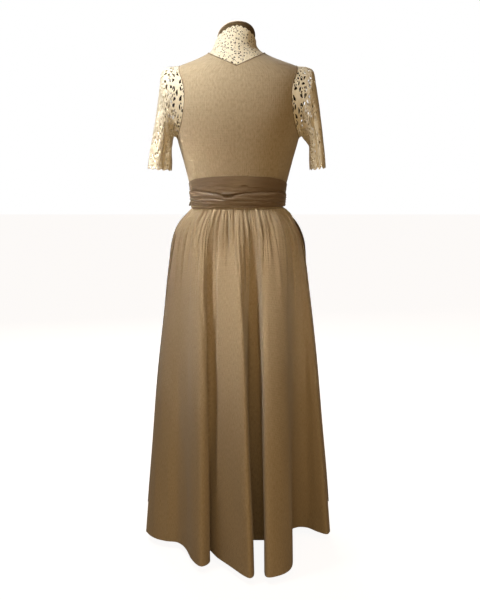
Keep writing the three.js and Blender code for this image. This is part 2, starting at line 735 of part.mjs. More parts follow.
// The outward direction of a sleeve, away from its middle
function sleeveOutward(surface, turn, ring) {
  const around = surface(turn + 2, ring).sub(surface(turn - 2, ring));
  const along = surface(turn, Math.min(8, ring + 0.1)).sub(surface(turn, Math.max(0.02, ring - 0.1)));
  const direction = around.cross(along).normalize();
  const middle = surface(0, Math.max(ring, 0.02)).add(surface(180, Math.max(ring, 0.02))).multiplyScalar(0.5);
  return direction.dot(surface(turn, ring).sub(middle)) < 0 ? direction.negate() : direction;
}

// Skirt and apron

const flareOf = Object.fromEntries(
  ["side", "back", "front", "square"].map((key) => [key, column(skirtFlare, "below", key)]),
);
const gatherOf = column(gatherDepth, "below", "depth");

// The plain cone of the skirt, without its folds
function cone(angle, below) {
  const cosine = Math.cos(rad(angle));
  const depth = cosine > 0 ? flareOf.back(below) : flareOf.front(below);
  const exponent = 2 / flareOf.square(below);
  return new THREE.Vector3(
    flareOf.side(below) * power(Math.sin(rad(angle)), exponent),
    depth * power(cosine, exponent),
    waistHeight - below,
  );
}

// The back's fold edges as one curve of (waist angle, across, behind)
const foldCurve = new THREE.CatmullRomCurve3(
  backFolds.map((row) => new THREE.Vector3(row.waist, row.across, row.back)),
  false,
  "centripetal",
);
const foldSamples = foldCurve.getPoints(backFolds.length * 12);

function foldAt(angle) {
  let i = 0;
  while (i < foldSamples.length - 2 && foldSamples[i + 1].x > angle) i += 1;
  const [a, b] = [foldSamples[i], foldSamples[i + 1]];
  return a.clone().lerp(b, THREE.MathUtils.clamp((a.x - angle) / (a.x - b.x), 0, 1));
}

// How much of the hem's folds has opened at each height
const growth = (below) => Math.max(0, below / skirtLength) ** 0.95;
const gatherAt = (below) => Math.max(0, gatherOf(below));

function backSkirt(angle, below) {
  const fold = foldAt(angle);
  const hem = cone(angle, skirtLength);
  const point = cone(angle, below);
  const grown = growth(below);
  point.x += grown * (fold.y - hem.x);
  point.y += grown * (fold.z - hem.y);
  return point;
}

// Soft folds for the front, counted from one side seam to the other
function frontSkirt(angle, below) {
  const fromFront = Math.abs(angle) - 180;
  const share = Math.cos(rad(fromFront * frontFold.squash)) * growth(below);
  const wave = Math.cos(rad(fromFront * frontFold.count * 2)) * frontFold.depth * share;
  const point = cone(angle, below);
  const direction = new THREE.Vector3(point.x, point.y, 0).normalize();
  const edge = THREE.MathUtils.smoothstep(Math.abs(fromFront), 60, 90);
  return point.addScaledVector(direction, wave * (1 - edge));
}

// The outward direction of a surface that is counted down from the waist, kept level
const levelOutward = (surface, angle, below) =>
  outward((a, above) => surface(a, -above), angle, -Math.max(1, below)).setZ(0).normalize();

// A skirt surface with its gathers, which are deeper in some places than in others
function gathered(surface, angle, below, count) {
  const strength = 0.75 + 0.25 * Math.sin(angle * 0.31 + 1.3);
  const wave = gatherAt(below) * strength * Math.cos(rad(angle * 2 * count));
  return surface(angle, below).addScaledVector(levelOutward(surface, angle, below), wave);
}

function clothPoint(surface, angle, below, count, thickness, offset, place) {
  const point = gathered(surface, angle, below, count);
  const direction = levelOutward((a, drop) => gathered(surface, a, drop, count), angle, below);
  return {
    place,
    outer: point.clone().addScaledVector(direction, offset + thickness / 2),
    inner: point.clone().addScaledVector(direction, offset - thickness / 2),
  };
}

// Rows down the skirt: the upper ones follow each gather, and the lower ones the folds
const upperDrops = [seamGap, 24, 90];
const lowerDrops = [190, 400, 650, skirtLength];
const frontDrops = [190, 480];
const sideSeam = 0.05;

// Angles that follow the table's fold edges, with one more between neighbours
function foldAngles() {
  const edges = backFolds.map((row) => row.waist);
  const halfways = edges.slice(1).map((angle, i) => (angle + edges[i]) / 2);
  return [...edges, ...halfways].sort((a, b) => b - a);
}

// A list of angles whose first and last are drawn in by half a seam
const trimEnds = (angles, edge) => [angles[0] - edge, ...angles.slice(1, -1), angles.at(-1) + edge];

function skirtBack() {
  const fine = trimEnds(spread(90, -90, backGathers * 4), sideSeam).reverse();
  const coarse = trimEnds(foldAngles(), sideSeam).reverse();
  const placed = (angle) => (angle + 90) / 180;
  const row = (angles, below) =>
    angles.map((angle) => clothPoint(backSkirt, angle, below, backGathers, skirtThickness, 0, placed(angle)));
  const upper = upperDrops.map((below) => row(fine, below));
  const lower = lowerDrops.map((below) => row(coarse, below));
  return wall([...upper, ...lower]);
}

// A front panel between two of the shared columns, fine at the gathers and coarse below
function frontPanel(thickness, offset, drops, skipped) {
  const fineColumns = frontGathers * 4;
  const coarseColumns = fineColumns / 2;
  const rows = drops.map((below) => {
    const fine = below <= upperDrops.at(-1);
    const columns = fine ? fineColumns : coarseColumns;
    const cut = fine ? skipped * 2 : skipped;
    const edge = skipped ? 0 : sideSeam;
    const angles = trimEnds(spread(90, 270, columns).slice(cut, columns + 1 - cut), -edge);
    return angles.map((angle, i) => {
      const place = i / (angles.length - 1);
      return clothPoint(frontSkirt, wrapAngle(angle), below, frontGathers, thickness, offset, place);
    });
  });
  return wall(rows);
}

const skirtFront = () => frontPanel(skirtThickness, 0, [...upperDrops, ...frontDrops, skirtLength], 0);

// The apron lies on the skirt's front: its wall is the skirt's, moved out
function apron() {
  const rest = (skirtThickness + apronThickness) / 2 + apronClearance;
  return frontPanel(apronThickness, rest, [...upperDrops, ...frontDrops, apronLength], 1);
}

// Sash: the apron's band and its ties

// The band and ties follow the waist. Near the seam the skin is kept upright so that they lie flat
const uprightBelow = 12;
const waistSkin = (angle, above) => {
  const point = skin(angle, Math.max(above, uprightBelow));
  point.z = waistHeight + above;
  return point;
};

function apronBand() {
  const columns = (2 * waistband.reach) / roundStep;
  const angles = spread(180 - waistband.reach, 180 + waistband.reach, columns);
  const rows = [waistband.high, bodyHeights[1], waistband.low];
  return wall(
    rows.map((above) => angles.map((angle, i) => layer(waistSkin, angle, above, waistband, i / columns))),
  );
}

// A tie along its path, folded lengthwise
function tie(path, inner) {
  const steps = (path.at(-1).angle - path[0].angle) / roundStep;
  const middle = column(path, "angle", "above");
  const half = column(path, "angle", "half");
  const rows = spread(1, -1, tieFold.count * 2).map((share, r) =>
    spread(path[0].angle, path.at(-1).angle, steps).map((angle, i) => {
      const near = inner + (r % 2) * tieFold.depth;
      const sides = { inner: near, outer: near + tieThickness };
      return layer(waistSkin, angle, middle(angle) + share * half(angle), sides, i / steps);
    }),
  );
  return wall(rows);
}

// A point beside the knot: the length round the waist, the height above the waist seam and the distance out
function byWaist(along, above, out) {
  const radius = skin(bow.angle, bow.above).setZ(0).length();
  const angle = bow.angle + THREE.MathUtils.radToDeg(along / radius);
  const direction = outward(waistSkin, angle, Math.max(above, uprightBelow + 1));
  const point = waistSkin(angle, above).addScaledVector(direction, out);
  if (above >= uprightBelow) return point;
  const skirtRadius = cone(wrapAngle(angle), uprightBelow - above).setZ(0).length();
  return point.addScaledVector(direction, Math.max(0, skirtRadius - point.clone().setZ(0).length() + out));
}

const wrapAngle = (angle) => (angle > 180 ? angle - 360 : angle);

// A soft closed form of the bow: its rings run from start to end along a drooping line
function bowForm(start, length, droop, inner, halfHeight, depth) {
  const steps = 7;
  const sides = 8;
  const pinch = 0.55;
  const rings = spread(0, 1, steps).map((share) => {
    const along = start + length * share;
    const high = halfHeight(share);
    const deep = depth * (pinch + (1 - pinch) * Math.sin(Math.PI * Math.min(1, share + 0.08)));
    return range(sides).map((i) => {
      const turn = (i * Math.PI * 2) / sides;
      const above = bow.above - droop * share * share + high * Math.sin(turn);
      return byWaist(along, above, inner + deep / 2 + (deep / 2) * Math.cos(turn));
    });
  });
  return loft(length > 0 ? rings : rings.reverse());
}

function bowKnot() {
  const { knotWidth: width, knotHeight: height, knotDepth: depth, inner } = bow;
  return bowForm(-width / 2, width, 0, inner, () => height / 2, depth);
}

function bowLoopForm(side) {
  const start = side * (bow.knotWidth / 2 + seamGap);
  const pinch = 0.3;
  const swell = (share) =>
    (bowLoop.width / 2) * (pinch + (1 - pinch) * Math.sin(Math.PI * Math.min(0.93, 0.12 + share * 0.85)));
  return bowForm(start, side * bowLoop.length, bowLoop.droop, bowLoop.inner, swell, bowLoop.depth);
}

// A tail hangs from under the knot over the apron
function bowTailWall(side, settle) {
  const columns = 4;
  const apart = 4;
  const rows = spread(0, 1, 6).map((share) =>
    spread(0, 1, columns).map((across, i) => {
      const { narrow } = bowTail;
      const width = bowTail.width * (narrow + (1 - narrow) * Math.min(1, share * 2.2));
      const centre = side * (apart + width / 2 + bowTail.spread * share);
      const above = bow.above - bow.knotHeight / 2 + bowTail.tuck - share * bowTail.length;
      const near = bowTail.inner - settle * Math.min(1, share * 3);
      const wave = Math.sin(across * Math.PI * bowTailFold.count);
      const fold = bowTailFold.depth * wave * Math.min(1, share * 4);
      const point = (out) => tailPoint(centre + (across - 0.5) * width, above, near + fold + out);
      return { place: i / columns, outer: point(tieThickness), inner: point(0) };
    }),
  );
  return wall(rows);
}

// A point over the apron, clear of its gathers
function tailPoint(along, above, out) {
  const below = Math.max(0, -above);
  const radius = frontSkirt(bow.angle, below).setZ(0).length();
  const angle = wrapAngle(bow.angle + THREE.MathUtils.radToDeg(along / radius));
  const base = frontSkirt(angle, below).setZ(waistHeight + above);
  return base.addScaledVector(levelOutward(frontSkirt, angle, below), out + gatherAt(below));
}

// The whole

const looks = {
  form: { color: 0x2a211a, roughness: 0.6, metalness: 0 },
  cap: { color: 0x4a3a28, roughness: 0.35, metalness: 0 },
  steel: { color: 0x3b3833, roughness: 0.45, metalness: 0.8 },
  lace: { color: 0xf3ead0, roughness: 0.9, metalness: 0 },
  linen: { color: 0xa48f70, roughness: 0.85, metalness: 0 },
  taffeta: { color: 0x8a7250, roughness: 0.5, metalness: 0 },
  piping: { color: 0x8c8272, roughness: 0.7, metalness: 0 },
};
const materials = Object.fromEntries(
  Object.entries(looks).map(([name, look]) => [name, new THREE.MeshStandardMaterial({ ...look, name })]),
);

const dirndl = new THREE.Group();
dirndl.name = "dirndl_on_dress_form";

function put(name, shape, material) {
  const geometry = shape.isBufferGeometry ? shape : geometryOf(shape);
  const mesh = new THREE.Mesh(geometry, materials[material]);
  mesh.name = name;
  dirndl.add(mesh);
}

function addStand() {
  put("stand_base", base(), "steel");
  put("stand_pole", pole(), "steel");
  put("form_torso", torso(), "form");
  put("form_neck_cap", neckCap(), "cap");
}

function addBlouse() {
  Object.entries(blouseBody()).forEach(([name, shape]) => put(name, shape, "lace"));
  put("collar_left", collarHalf(1), "lace");
  put("collar_right", collarHalf(-1), "lace");
  put("sleeve_left_back", sleeveHalf(leftSleeve, 1, 0, 180), "lace");
  put("sleeve_left_front", sleeveHalf(leftSleeve, 1, 180, 360), "lace");
  put("sleeve_right_back", sleeveHalf(rightSleeve, -1, 0, 180), "lace");
  put("sleeve_right_front", sleeveHalf(rightSleeve, -1, 180, 360), "lace");
}

function addDress() {
  Object.entries(bodicePanels()).forEach(([name, shape]) => put(name, shape, "linen"));
  Object.entries(pipings()).forEach(([name, shape]) => put(name, shape, "piping"));
  put("skirt_back", skirtBack(), "linen");
  put("skirt_front", skirtFront(), "linen");
}

function addApron() {
  put("apron_panel", apron(), "taffeta");
  put("apron_band", apronBand(), "taffeta");
  put("tie_under", tie(underTiePath, underTieInner), "taffeta");
  put("tie_over", tie(overTiePath, overTieInner), "taffeta");
  put("bow_knot", bowKnot(), "taffeta");
  put("bow_loop_left", bowLoopForm(-1), "taffeta");
  put("bow_loop_right", bowLoopForm(1), "taffeta");
  put("bow_tail_left", bowTailWall(-1, tailSettle.left), "taffeta");
  put("bow_tail_right", bowTailWall(1, tailSettle.right), "taffeta");
}

addStand();
addBlouse();
addDress();
addApron();

export default dirndl;
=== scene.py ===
import math

import bpy
import numpy as np
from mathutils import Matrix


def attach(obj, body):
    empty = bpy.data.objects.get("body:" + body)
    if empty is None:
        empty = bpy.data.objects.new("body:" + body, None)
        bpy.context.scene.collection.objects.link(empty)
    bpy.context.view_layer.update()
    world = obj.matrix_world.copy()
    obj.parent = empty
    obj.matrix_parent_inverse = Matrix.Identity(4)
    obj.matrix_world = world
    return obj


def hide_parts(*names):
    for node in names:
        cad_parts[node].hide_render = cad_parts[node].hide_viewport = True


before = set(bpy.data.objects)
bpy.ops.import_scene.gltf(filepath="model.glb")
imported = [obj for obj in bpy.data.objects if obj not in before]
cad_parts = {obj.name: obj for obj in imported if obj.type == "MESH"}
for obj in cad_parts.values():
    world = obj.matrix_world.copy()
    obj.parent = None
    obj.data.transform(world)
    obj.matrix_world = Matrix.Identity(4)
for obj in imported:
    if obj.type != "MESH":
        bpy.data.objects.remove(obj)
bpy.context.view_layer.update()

# A dirndl seen from behind on a dark limbless dress form. The wearer's left is +X and the back faces +Y.
# Lengths are in millimetres until a mesh is made. "above" is counted up from the waist seam.

MM = 0.001
WAIST = 950.0
SKIRT_DROP = 930.0
APRON_DROP = 846.0
DENSITY = 1.0
EDGE_HALVINGS = 7
FAR = 1e9

# The figure's sections: half width, depth behind and before, squareness, lean forward and to the left
FIGURE_COLUMNS = ("above", "side", "back", "front", "square", "lean", "shift")
FIGURE = [
    (-152, 146, 104, 98, 2.3, 0, 0),
    (-90, 139, 101, 96, 2.3, 0, 0),
    (-40, 127, 93, 91, 2.3, 0, 0),
    (0, 119, 87, 87, 2.3, 0, 0),
    (32, 119, 85, 89, 2.3, 0, 0),
    (75, 131, 89, 98, 2.25, 0, 0),
    (129, 145, 96, 107, 2.2, 0, 0),
    (183, 160, 101, 108, 2.2, 0, 0),
    (240, 172, 102, 98, 2.2, 0, 0),
    (295, 181, 96, 84, 2.15, 0, 0),
    (335, 185, 86, 73, 2.1, 0, 0),
    (358, 181, 77, 66, 2.05, 0, 0),
    (376, 158, 70, 60, 2, 0, 0),
    (390, 121, 66, 57, 2, -2, 1),
    (402, 92, 62, 55, 2, -4, 3),
    (413, 73, 58, 54, 2, -7, 4),
    (430, 57, 53, 52, 2, -11, 7),
    (448, 52, 50, 49, 2, -15, 6),
    (465, 51, 48, 47, 2, -18, 4),
    (478, 47, 45, 44, 2, -20, 3),
    (489, 39, 38, 37, 2, -21, 2),
    (498, 25, 25, 24, 2, -21, 2),
    (503, 7, 7, 6, 2, -21, 2),
]
BUST = {"above": 172, "across": 72, "reach": 20, "wide": 52, "tall": 50}

# The skirt's flare down its length, and its back folds: the place round the waist in degrees from the
# centre back, and where the fold's edge hangs at the hem
FLARE_COLUMNS = ("below", "side", "back", "front", "square")
FLARE = [
    (0, 122.5, 90.5, 90.5, 2.3),
    (6, 124, 92, 92, 2.3),
    (16, 132, 100, 99, 2.3),
    (35, 147, 114, 112, 2.25),
    (62, 161, 126, 124, 2.2),
    (90, 170, 134, 132, 2.15),
    (146, 182, 144, 143, 2.1),
    (258, 200, 158, 161, 2.05),
    (428, 220, 175, 183, 2),
    (688, 244, 197, 211, 2),
    (930, 264, 212, 228, 2),
]
BACK_FOLDS = [
    (90, 264, 0),
    (78, 241, 46),
    (67, 202, 76),
    (57, 168, 86),
    (48, 143, 134),
    (40, 123, 216),
    (33, 97, 260),
    (28, 75, 228),
    (25, 81, 142),
    (18, 54, 200),
    (9, 14, 268),
    (1, -28, 338),
    (-1, -42, 316),
    (-4, -38, 208),
    (-8, -30, 80),
    (-13, -76, 76),
    (-17, -73, 206),
    (-21, -70, 318),
    (-26, -84, 334),
    (-34, -124, 302),
    (-42, -144, 250),
    (-49, -147, 94),
    (-56, -152, -8),
    (-62, -173, -34),
    (-70, -203, -30),
    (-77, -230, 4),
    (-84, -253, 22),
    (-90, -264, 0),
]
# How deep the gathers are on their way down
GATHER_COLUMNS = ("below", "depth")
GATHER = [(0, 3.0), (8, 7.5), (30, 11.0), (75, 8.4), (130, 3.8), (200, 0.9), (280, 0), (2000, 0)]
BACK_GATHERS = 26
FRONT_GATHERS = 18
# Single creases of the back: place round the waist, start and end below it, depth (troughs are negative)
# and width in degrees
CREASES = [
    (62, 8, 70, -4, 1.6),
    (53, 10, 190, -5, 2.2),
    (44, 5, 110, -6, 1.7),
    (38, 4, 150, -5, 1.3),
    (28, 30, 330, -6, 1.6),
    (22, 12, 120, -4, 1.5),
    (10, 8, 150, -9, 1.9),
    (4, 10, 90, 4, 1.4),
    (-1.5, 20, 420, -6, 1.0),
    (-7, 30, 140, -6, 1.8),
    (-11, 5, 80, 5, 1.4),
    (-15, 8, 50, -4, 1.4),
    (-24, 6, 60, -4, 1.6),
    (-30, 10, 110, -6, 2.0),
    (-37, 30, 260, 5, 2.4),
    (-45, 40, 300, 4, 2.6),
    (-54, 10, 120, -5, 2.0),
    (-66, 30, 200, 4, 3.0),
]
FRONT_FOLD = {"count": 6, "depth": 26, "squash": 0.75}
SKIRT_WALLS = (-0.9, 0.9)
APRON_WALLS = (2.15, 3.35)

# Edges of the bodice and the collar
BACK_NECK = [(74, 420), (71, 409), (34, 391), (0, 376)]
FRONT_NECK = [(74, 420), (69, 398), (57, 350), (35, 292), (0, 250)]
NECK_SHIFT = 4
ARMHOLE = {"above": 283, "tall": 94, "back": 65, "front": 58, "roundness": 0.92}
BODICE_WALLS = (2.7, 4.3)
# The rolled binding: its section, how far out its middle lies, and its cut's width a side and length a ring
ROLL = {"width": 3.4, "height": 2.6, "out": 4.2, "sides": 10, "side": 1.0, "ring": 2.4}
COLLAR = {"seam_back": 430, "seam_front": 413, "top_front": 446, "top_back": 485, "rise": 3.4}
COLLAR_EDGE = {"scallop": 5.0, "scallops": 26, "radius": 62.0}

# Sleeve rings: outer edge across and above, inner edge across and above, half depth
SLEEVE_COLUMNS = ("ring", "outer_across", "outer_above", "inner_across", "inner_above", "half_depth")
LEFT_SLEEVE = [
    (1, 184, 378, 173, 194, 66),
    (2, 201, 370, 177, 189, 66),
    (3, 209, 345, 179, 180, 64),
    (4, 213, 305, 180, 173, 60),
    (5, 220, 258, 181, 161, 57),
    (6, 230, 204, 181, 145, 55),
    (7, 239, 154, 181, 125, 54),
    (8, 246, 106, 182, 100, 54),
]
RIGHT_SLEEVE = [
    (1, 184, 378, 173, 194, 66),
    (2, 201, 370, 178, 189, 66),
    (3, 208, 348, 183, 182, 65),
    (4, 214, 306, 189, 176, 63),
    (5, 222, 255, 194, 166, 61),
    (6, 229, 204, 195, 148, 61),
    (7, 235, 154, 196, 126, 61),
    (8, 239, 108, 197, 102, 61),
]

# Apron ties: place round the waist, height of the middle and half width
TIE_COLUMNS = ("angle", "above", "half")
UNDER_TIE = [
    (-105, 30, 16),
    (-70, 46, 26),
    (-30, 57, 30),
    (25, 58, 30),
    (70, 48, 26),
    (110, 28, 16),
    (165, 20, 13),
]
OVER_TIE = [
    (-180, 20, 13),
    (-100, 20, 16),
    (-75, 24, 20),
    (-45, 26, 22),
    (-15, 24, 21),
    (12, 21, 18),
    (40, 23, 22.5),
    (70, 24, 26),
    (105, 26, 16),
]
# Creases of the sash behind: where each starts and ends, across and above, its depth (troughs are negative)
# and its width
SASH_CREASES = [
    (112, 50, 56, 42, -2.6, 2.6),
    (58, 42, 28, 33, -3.0, 2.4),
    (122, 39, 98, 37, 2.6, 2.8),
    (124, 33, 88, 31, -3.4, 2.2),
    (90, 31, 34, 26, -2.4, 2.4),
    (122, 27, 92, 24, 2.4, 2.6),
    (124, 20, 74, 19, -3.2, 2.2),
    (116, 15, 66, 14, 2.2, 2.8),
    (122, 8, 60, 8, -2.8, 2.2),
    (31, 34, 16, 35, -9.0, 3.4),
    (40, 41, 8, 43, 3.4, 3.0),
    (36, 27, 10, 26, 3.6, 2.6),
    (12, 38, -21, 44, -3.2, 2.4),
    (-21, 43, -62, 48, -3.2, 2.2),
    (-60, 48, -104, 46, -3.4, 2.2),
    (-104, 46, -122, 37, -3.4, 2.4),
    (12, 22, -46, 24, -3.2, 2.2),
    (-44, 24, -86, 17, -2.6, 2.4),
    (-84, 17, -128, 12, -2.4, 2.2),
    (-18, 33, -112, 30, -1.8, 3.0),
    (-30, 38, -100, 39, 1.6, 2.6),
    (14, 56, -62, 58, -1.5, 2.2),
    (-10, 62, -24, 62, -2.2, 2.0),
    (-24, 52, -116, 54, -1.6, 2.8),
    (36, 12, -30, 9, -2.2, 2.2),
    (-28, 9, -126, 5, -2.6, 2.2),
]
BOW = {"angle": 172.5, "above": 20, "inner": 7.9, "knot_width": 22, "knot_height": 34, "knot_depth": 13}


def curve(columns, rows, key):
    """One column of a table as a smooth function of its first column."""
    place = np.array([row[0] for row in rows], float)
    value = np.array([row[columns.index(key)] for row in rows], float)
    last = len(rows) - 1
    before = np.maximum(np.arange(last + 1) - 1, 0)
    after = np.minimum(np.arange(last + 1) + 1, last)
    slope = (value[after] - value[before]) / (place[after] - place[before])

    def at(where):
        where = np.asarray(where, float)
        i = np.clip(np.searchsorted(place, where, side="right") - 1, 0, last - 1)
        step = place[i + 1] - place[i]
        t = np.clip((where - place[i]) / step, 0, 1)
        start = (2 * t**3 - 3 * t**2 + 1) * value[i] + (t**3 - 2 * t**2 + t) * step * slope[i]
        end = (3 * t**2 - 2 * t**3) * value[i + 1] + (t**3 - t**2) * step * slope[i + 1]
        return start + end

    return at


def curves(columns, rows):
    return {key: curve(columns, rows, key) for key in columns[1:]}


body = curves(FIGURE_COLUMNS, FIGURE)
flare = curves(FLARE_COLUMNS, FLARE)
gather_depth = curve(GATHER_COLUMNS, GATHER, "depth")


def signed_power(value, exponent):
    return np.sign(value) * np.abs(value) ** exponent


def smoothstep(low, high, value):
    t = np.clip((value - low) / (high - low), 0, 1)
    return t * t * (3 - 2 * t)


def waver(value, seed):
    """A smooth uneven value between -1 and 1, the same on every run."""
    pairs = ((1.0, 1.7), (2.3, 2.9), (3.7, 4.3))
    return sum(np.sin(value * pace + seed * turn) for pace, turn in pairs) / 3


def skin(angle, above):
    """The figure at an angle from the centre back, in degrees, positive to the wearer's left."""
    angle, above = np.broadcast_arrays(np.asarray(angle, float), np.asarray(above, float))
    sine = np.sin(np.radians(angle))
    cosine = np.cos(np.radians(angle))
    exponent = 2 / body["square"](above)
    across = body["side"](above) * signed_power(sine, exponent)
    depth = np.where(cosine > 0, body["back"](above), body["front"](above))
    behind = depth * signed_power(cosine, exponent) + body["lean"](above)
    wide = (np.abs(across) - BUST["across"]) / BUST["wide"]
    tall = (above - BUST["above"]) / BUST["tall"]
    rise = BUST["reach"] * np.exp(-(wide**2) - tall**2) * np.clip(-cosine * 2, 0, 1)
    return np.stack([across + body["shift"](above), behind - rise, WAIST + above], -1)


def outward(surface, u, v, nudge=0.8):
    """The outward direction of a surface whose first value grows to the left and second upward."""
    around = surface(u - nudge, v) - surface(u + nudge, v)
    rise = surface(u, v + nudge) - surface(u, v - nudge)
    normal = np.cross(around, rise)
    return normal / np.maximum(np.linalg.norm(normal, axis=-1, keepdims=True), 1e-9)


# Meshes


def sheet_grid(us, vs):
    """Quads over a grid, with the grid's values at its points."""
    u, v = np.meshgrid(us, vs, indexing="ij")
    index = np.arange(u.size).reshape(u.shape)
    quads = np.stack([index[:-1, :-1], index[:-1, 1:], index[1:, 1:], index[1:, :-1]], -1).reshape(-1, 4)
    return u.ravel(), v.ravel(), quads


def trimmed_grid(us, vs, keep):
    """Triangles over the part of a grid where keep(u, v) is positive, with a clean edge at zero."""
    u, v = np.meshgrid(us, vs, indexing="ij")
    index = np.arange(u.size).reshape(u.shape)
    a, b, c, d = (index[:-1, :-1], index[:-1, 1:], index[1:, 1:], index[1:, :-1])
    halves = [np.stack(corners, -1).reshape(-1, 3) for corners in ([a, b, c], [a, c, d])]
    tris = np.concatenate(halves)
    u, v = u.ravel(), v.ravel()
    value = keep(u, v)
    inside = value[tris] > 0
    count = inside.sum(1)
    whole = tris[count == 3]

    def turned(kept, odd_corner):
        """The cut triangles, turned so that the corner that differs from the other two comes first."""
        first = odd_corner(inside[count == kept], 1)[:, None]
        return np.take_along_axis(tris[count == kept], (first + np.arange(3)) % 3, 1)

    one = turned(1, np.argmax)
    two = turned(2, np.argmin)
    cuts = np.concatenate([one[:, [0, 1]], one[:, [0, 2]], two[:, [0, 1]], two[:, [0, 2]]])
    pairs, where = np.unique(np.sort(cuts, 1), axis=0, return_inverse=True)
    where = where.reshape(-1) + u.size
    begins_inside = value[pairs[:, 0]] > 0
    low, high = np.zeros(len(pairs)), np.ones(len(pairs))
    start_u, run_u = u[pairs[:, 0]], u[pairs[:, 1]] - u[pairs[:, 0]]
    start_v, run_v = v[pairs[:, 0]], v[pairs[:, 1]] - v[pairs[:, 0]]
    for _ in range(EDGE_HALVINGS):
        middle = (low + high) / 2
        same = (keep(start_u + middle * run_u, start_v + middle * run_v) > 0) == begins_inside
        low, high = np.where(same, middle, low), np.where(same, high, middle)
    share = np.clip((low + high) / 2, 0.03, 0.97)
    u = np.concatenate([u, start_u + share * run_u])
    v = np.concatenate([v, start_v + share * run_v])
    n, m = len(one), len(two)
    first, second = where[:n], where[n : 2 * n]
    third, fourth = where[2 * n : 2 * n + m], where[2 * n + m :]
    small = np.stack([one[:, 0], first, second], -1)
    wide_a = np.stack([two[:, 1], two[:, 2], fourth], -1)
    wide_b = np.stack([two[:, 1], fourth, third], -1)
    faces = np.concatenate([whole, small, wide_a, wide_b])
    used, renumbered = np.unique(faces, return_inverse=True)
    return u[used], v[used], renumbered.reshape(-1, 3)


def make_object(name, points, faces, smooth, flat, finish, replaced):
    """A mesh object in metres that stands for one node, with its flat cut as the UV map named cut."""
    material, slot = finish
    mesh = bpy.data.meshes.new(name)
    mesh.from_pydata((points * MM).tolist(), [], faces)
    mesh.polygons.foreach_set("use_smooth", smooth)
    # The rim of a cloth is flat, and its edges are sharp, so the cloth beside it keeps its own shading
    corner_edge = np.empty(len(mesh.loops), np.int32)
    mesh.loops.foreach_get("edge_index", corner_edge)
    sides = np.empty(len(mesh.polygons), np.int32)
    mesh.polygons.foreach_get("loop_total", sides)
    sharp = np.zeros(len(mesh.edges), bool)
    sharp[corner_edge[np.repeat(~np.asarray(smooth), sides)]] = True
    mesh.edges.foreach_set("use_edge_sharp", sharp)
    layer = mesh.uv_layers.new(name="cut")
    corners = np.empty(len(mesh.loops), np.int32)
    mesh.loops.foreach_get("vertex_index", corners)
    layer.data.foreach_set("uv", (flat[corners] * MM).astype(np.float32).ravel())
    mesh.materials.append(material)
    mesh.update()
    piece = bpy.data.objects.new(name, mesh)
    bpy.context.scene.collection.objects.link(piece)
    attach(piece, "root")
    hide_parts(replaced)
    return piece


def shell(name, base, normal, walls, faces, flat, finish, replaced):
    """A closed thin sheet over a surface, between two distances from it."""
    low, high = (np.reshape(wall, (-1, 1)) for wall in walls)
    outer = base + normal * high
    inner = base + normal * low
    corners = outer[faces[:, :3]]
    facing = np.cross(corners[:, 1] - corners[:, 0], corners[:, 2] - corners[:, 0])
    if (facing * normal[faces[:, 0]]).sum() < 0:
        faces = faces[:, ::-1]
    count = len(outer)
    edges = np.concatenate([faces[:, [i, (i + 1) % faces.shape[1]]] for i in range(faces.shape[1])])
    key = edges[:, 0].astype(np.int64) * count + edges[:, 1]
    back_key = edges[:, 1].astype(np.int64) * count + edges[:, 0]
    start, end = edges[~np.isin(key, back_key)].T
    rims = np.stack([end, start, start + count, end + count], -1)
    lining = faces[:, ::-1] + count
    every = faces.tolist() + lining.tolist() + rims.tolist()
    smooth = np.concatenate([np.ones(2 * len(faces), bool), np.zeros(len(rims), bool)])
    points = np.concatenate([outer, inner])
    return make_object(name, points, every, smooth, np.concatenate([flat, flat]), finish, replaced)


def cloth(name, surface, grid, walls, cut, finish, replaced, relief=None):
    """A cloth piece on a surface, lifted by a relief, with its cut's flat coordinates."""
    u, v, faces = grid
    lift = 0 if relief is None else relief(u, v)
    lifted = [wall + lift for wall in walls]
    flat = np.stack(cut(u, v), -1)
    return shell(name, surface(u, v), outward(surface, u, v), lifted, faces, flat, finish, replaced)


def steps(low, high, size):
    """Evenly spaced values from low to high, about size apart."""
    count = max(2, round(abs(high - low) / size * DENSITY))
    return np.linspace(low, high, count + 1)


# Materials


def linear(hex_colour):
    """An sRGB hex colour as linear RGBA."""
    value = [int(hex_colour[i : i + 2], 16) / 255 for i in (1, 3, 5)]
    return [c / 12.92 if c <= 0.04045 else ((c + 0.055) / 1.055) ** 2.4 for c in value] + [1.0]


def node(tree, kind, **values):
    """Add a node, set its fields, which are named in lower case, and its sockets.

    A socket is named by its label with _ for each space, or by i and its number. One that is given another
    node or an output is linked to it."""
    made = tree.nodes.new(kind)
    for name, value in values.items():
        numbered = name[1:].isdigit()
        if name[0].islower() and not numbered:
            setattr(made, name, value)
            continue
        socket = made.inputs[int(name[1:]) if numbered else name.replace("_", " ")]
        value = value.outputs[0] if isinstance(value, bpy.types.Node) else value
        if isinstance(value, bpy.types.NodeSocket):
            tree.links.new(value, socket)
        else:
            socket.default_value = value
    return made


def empty_material(name):
    material = bpy.data.materials.new(name)
    material.use_nodes = True
    material.node_tree.nodes.clear()
    return material, material.node_tree


def on_the_cut(tree, across, along):
    """The flat cut's coordinates, scaled to counts per metre across and along the cloth."""
    uv = node(tree, "ShaderNodeUVMap", uv_map="cut")
    return node(tree, "ShaderNodeVectorMath", operation="MULTIPLY", i0=uv, i1=(across, along, 1))


# A mix of colours takes its factor at i0 and its colours at i6 and i7, and this output gives the result
MIXED = 2
# A wave texture's output that holds its height, and the scale that makes each straight band one unit wide
HEIGHT = 1
BAND = 0.159


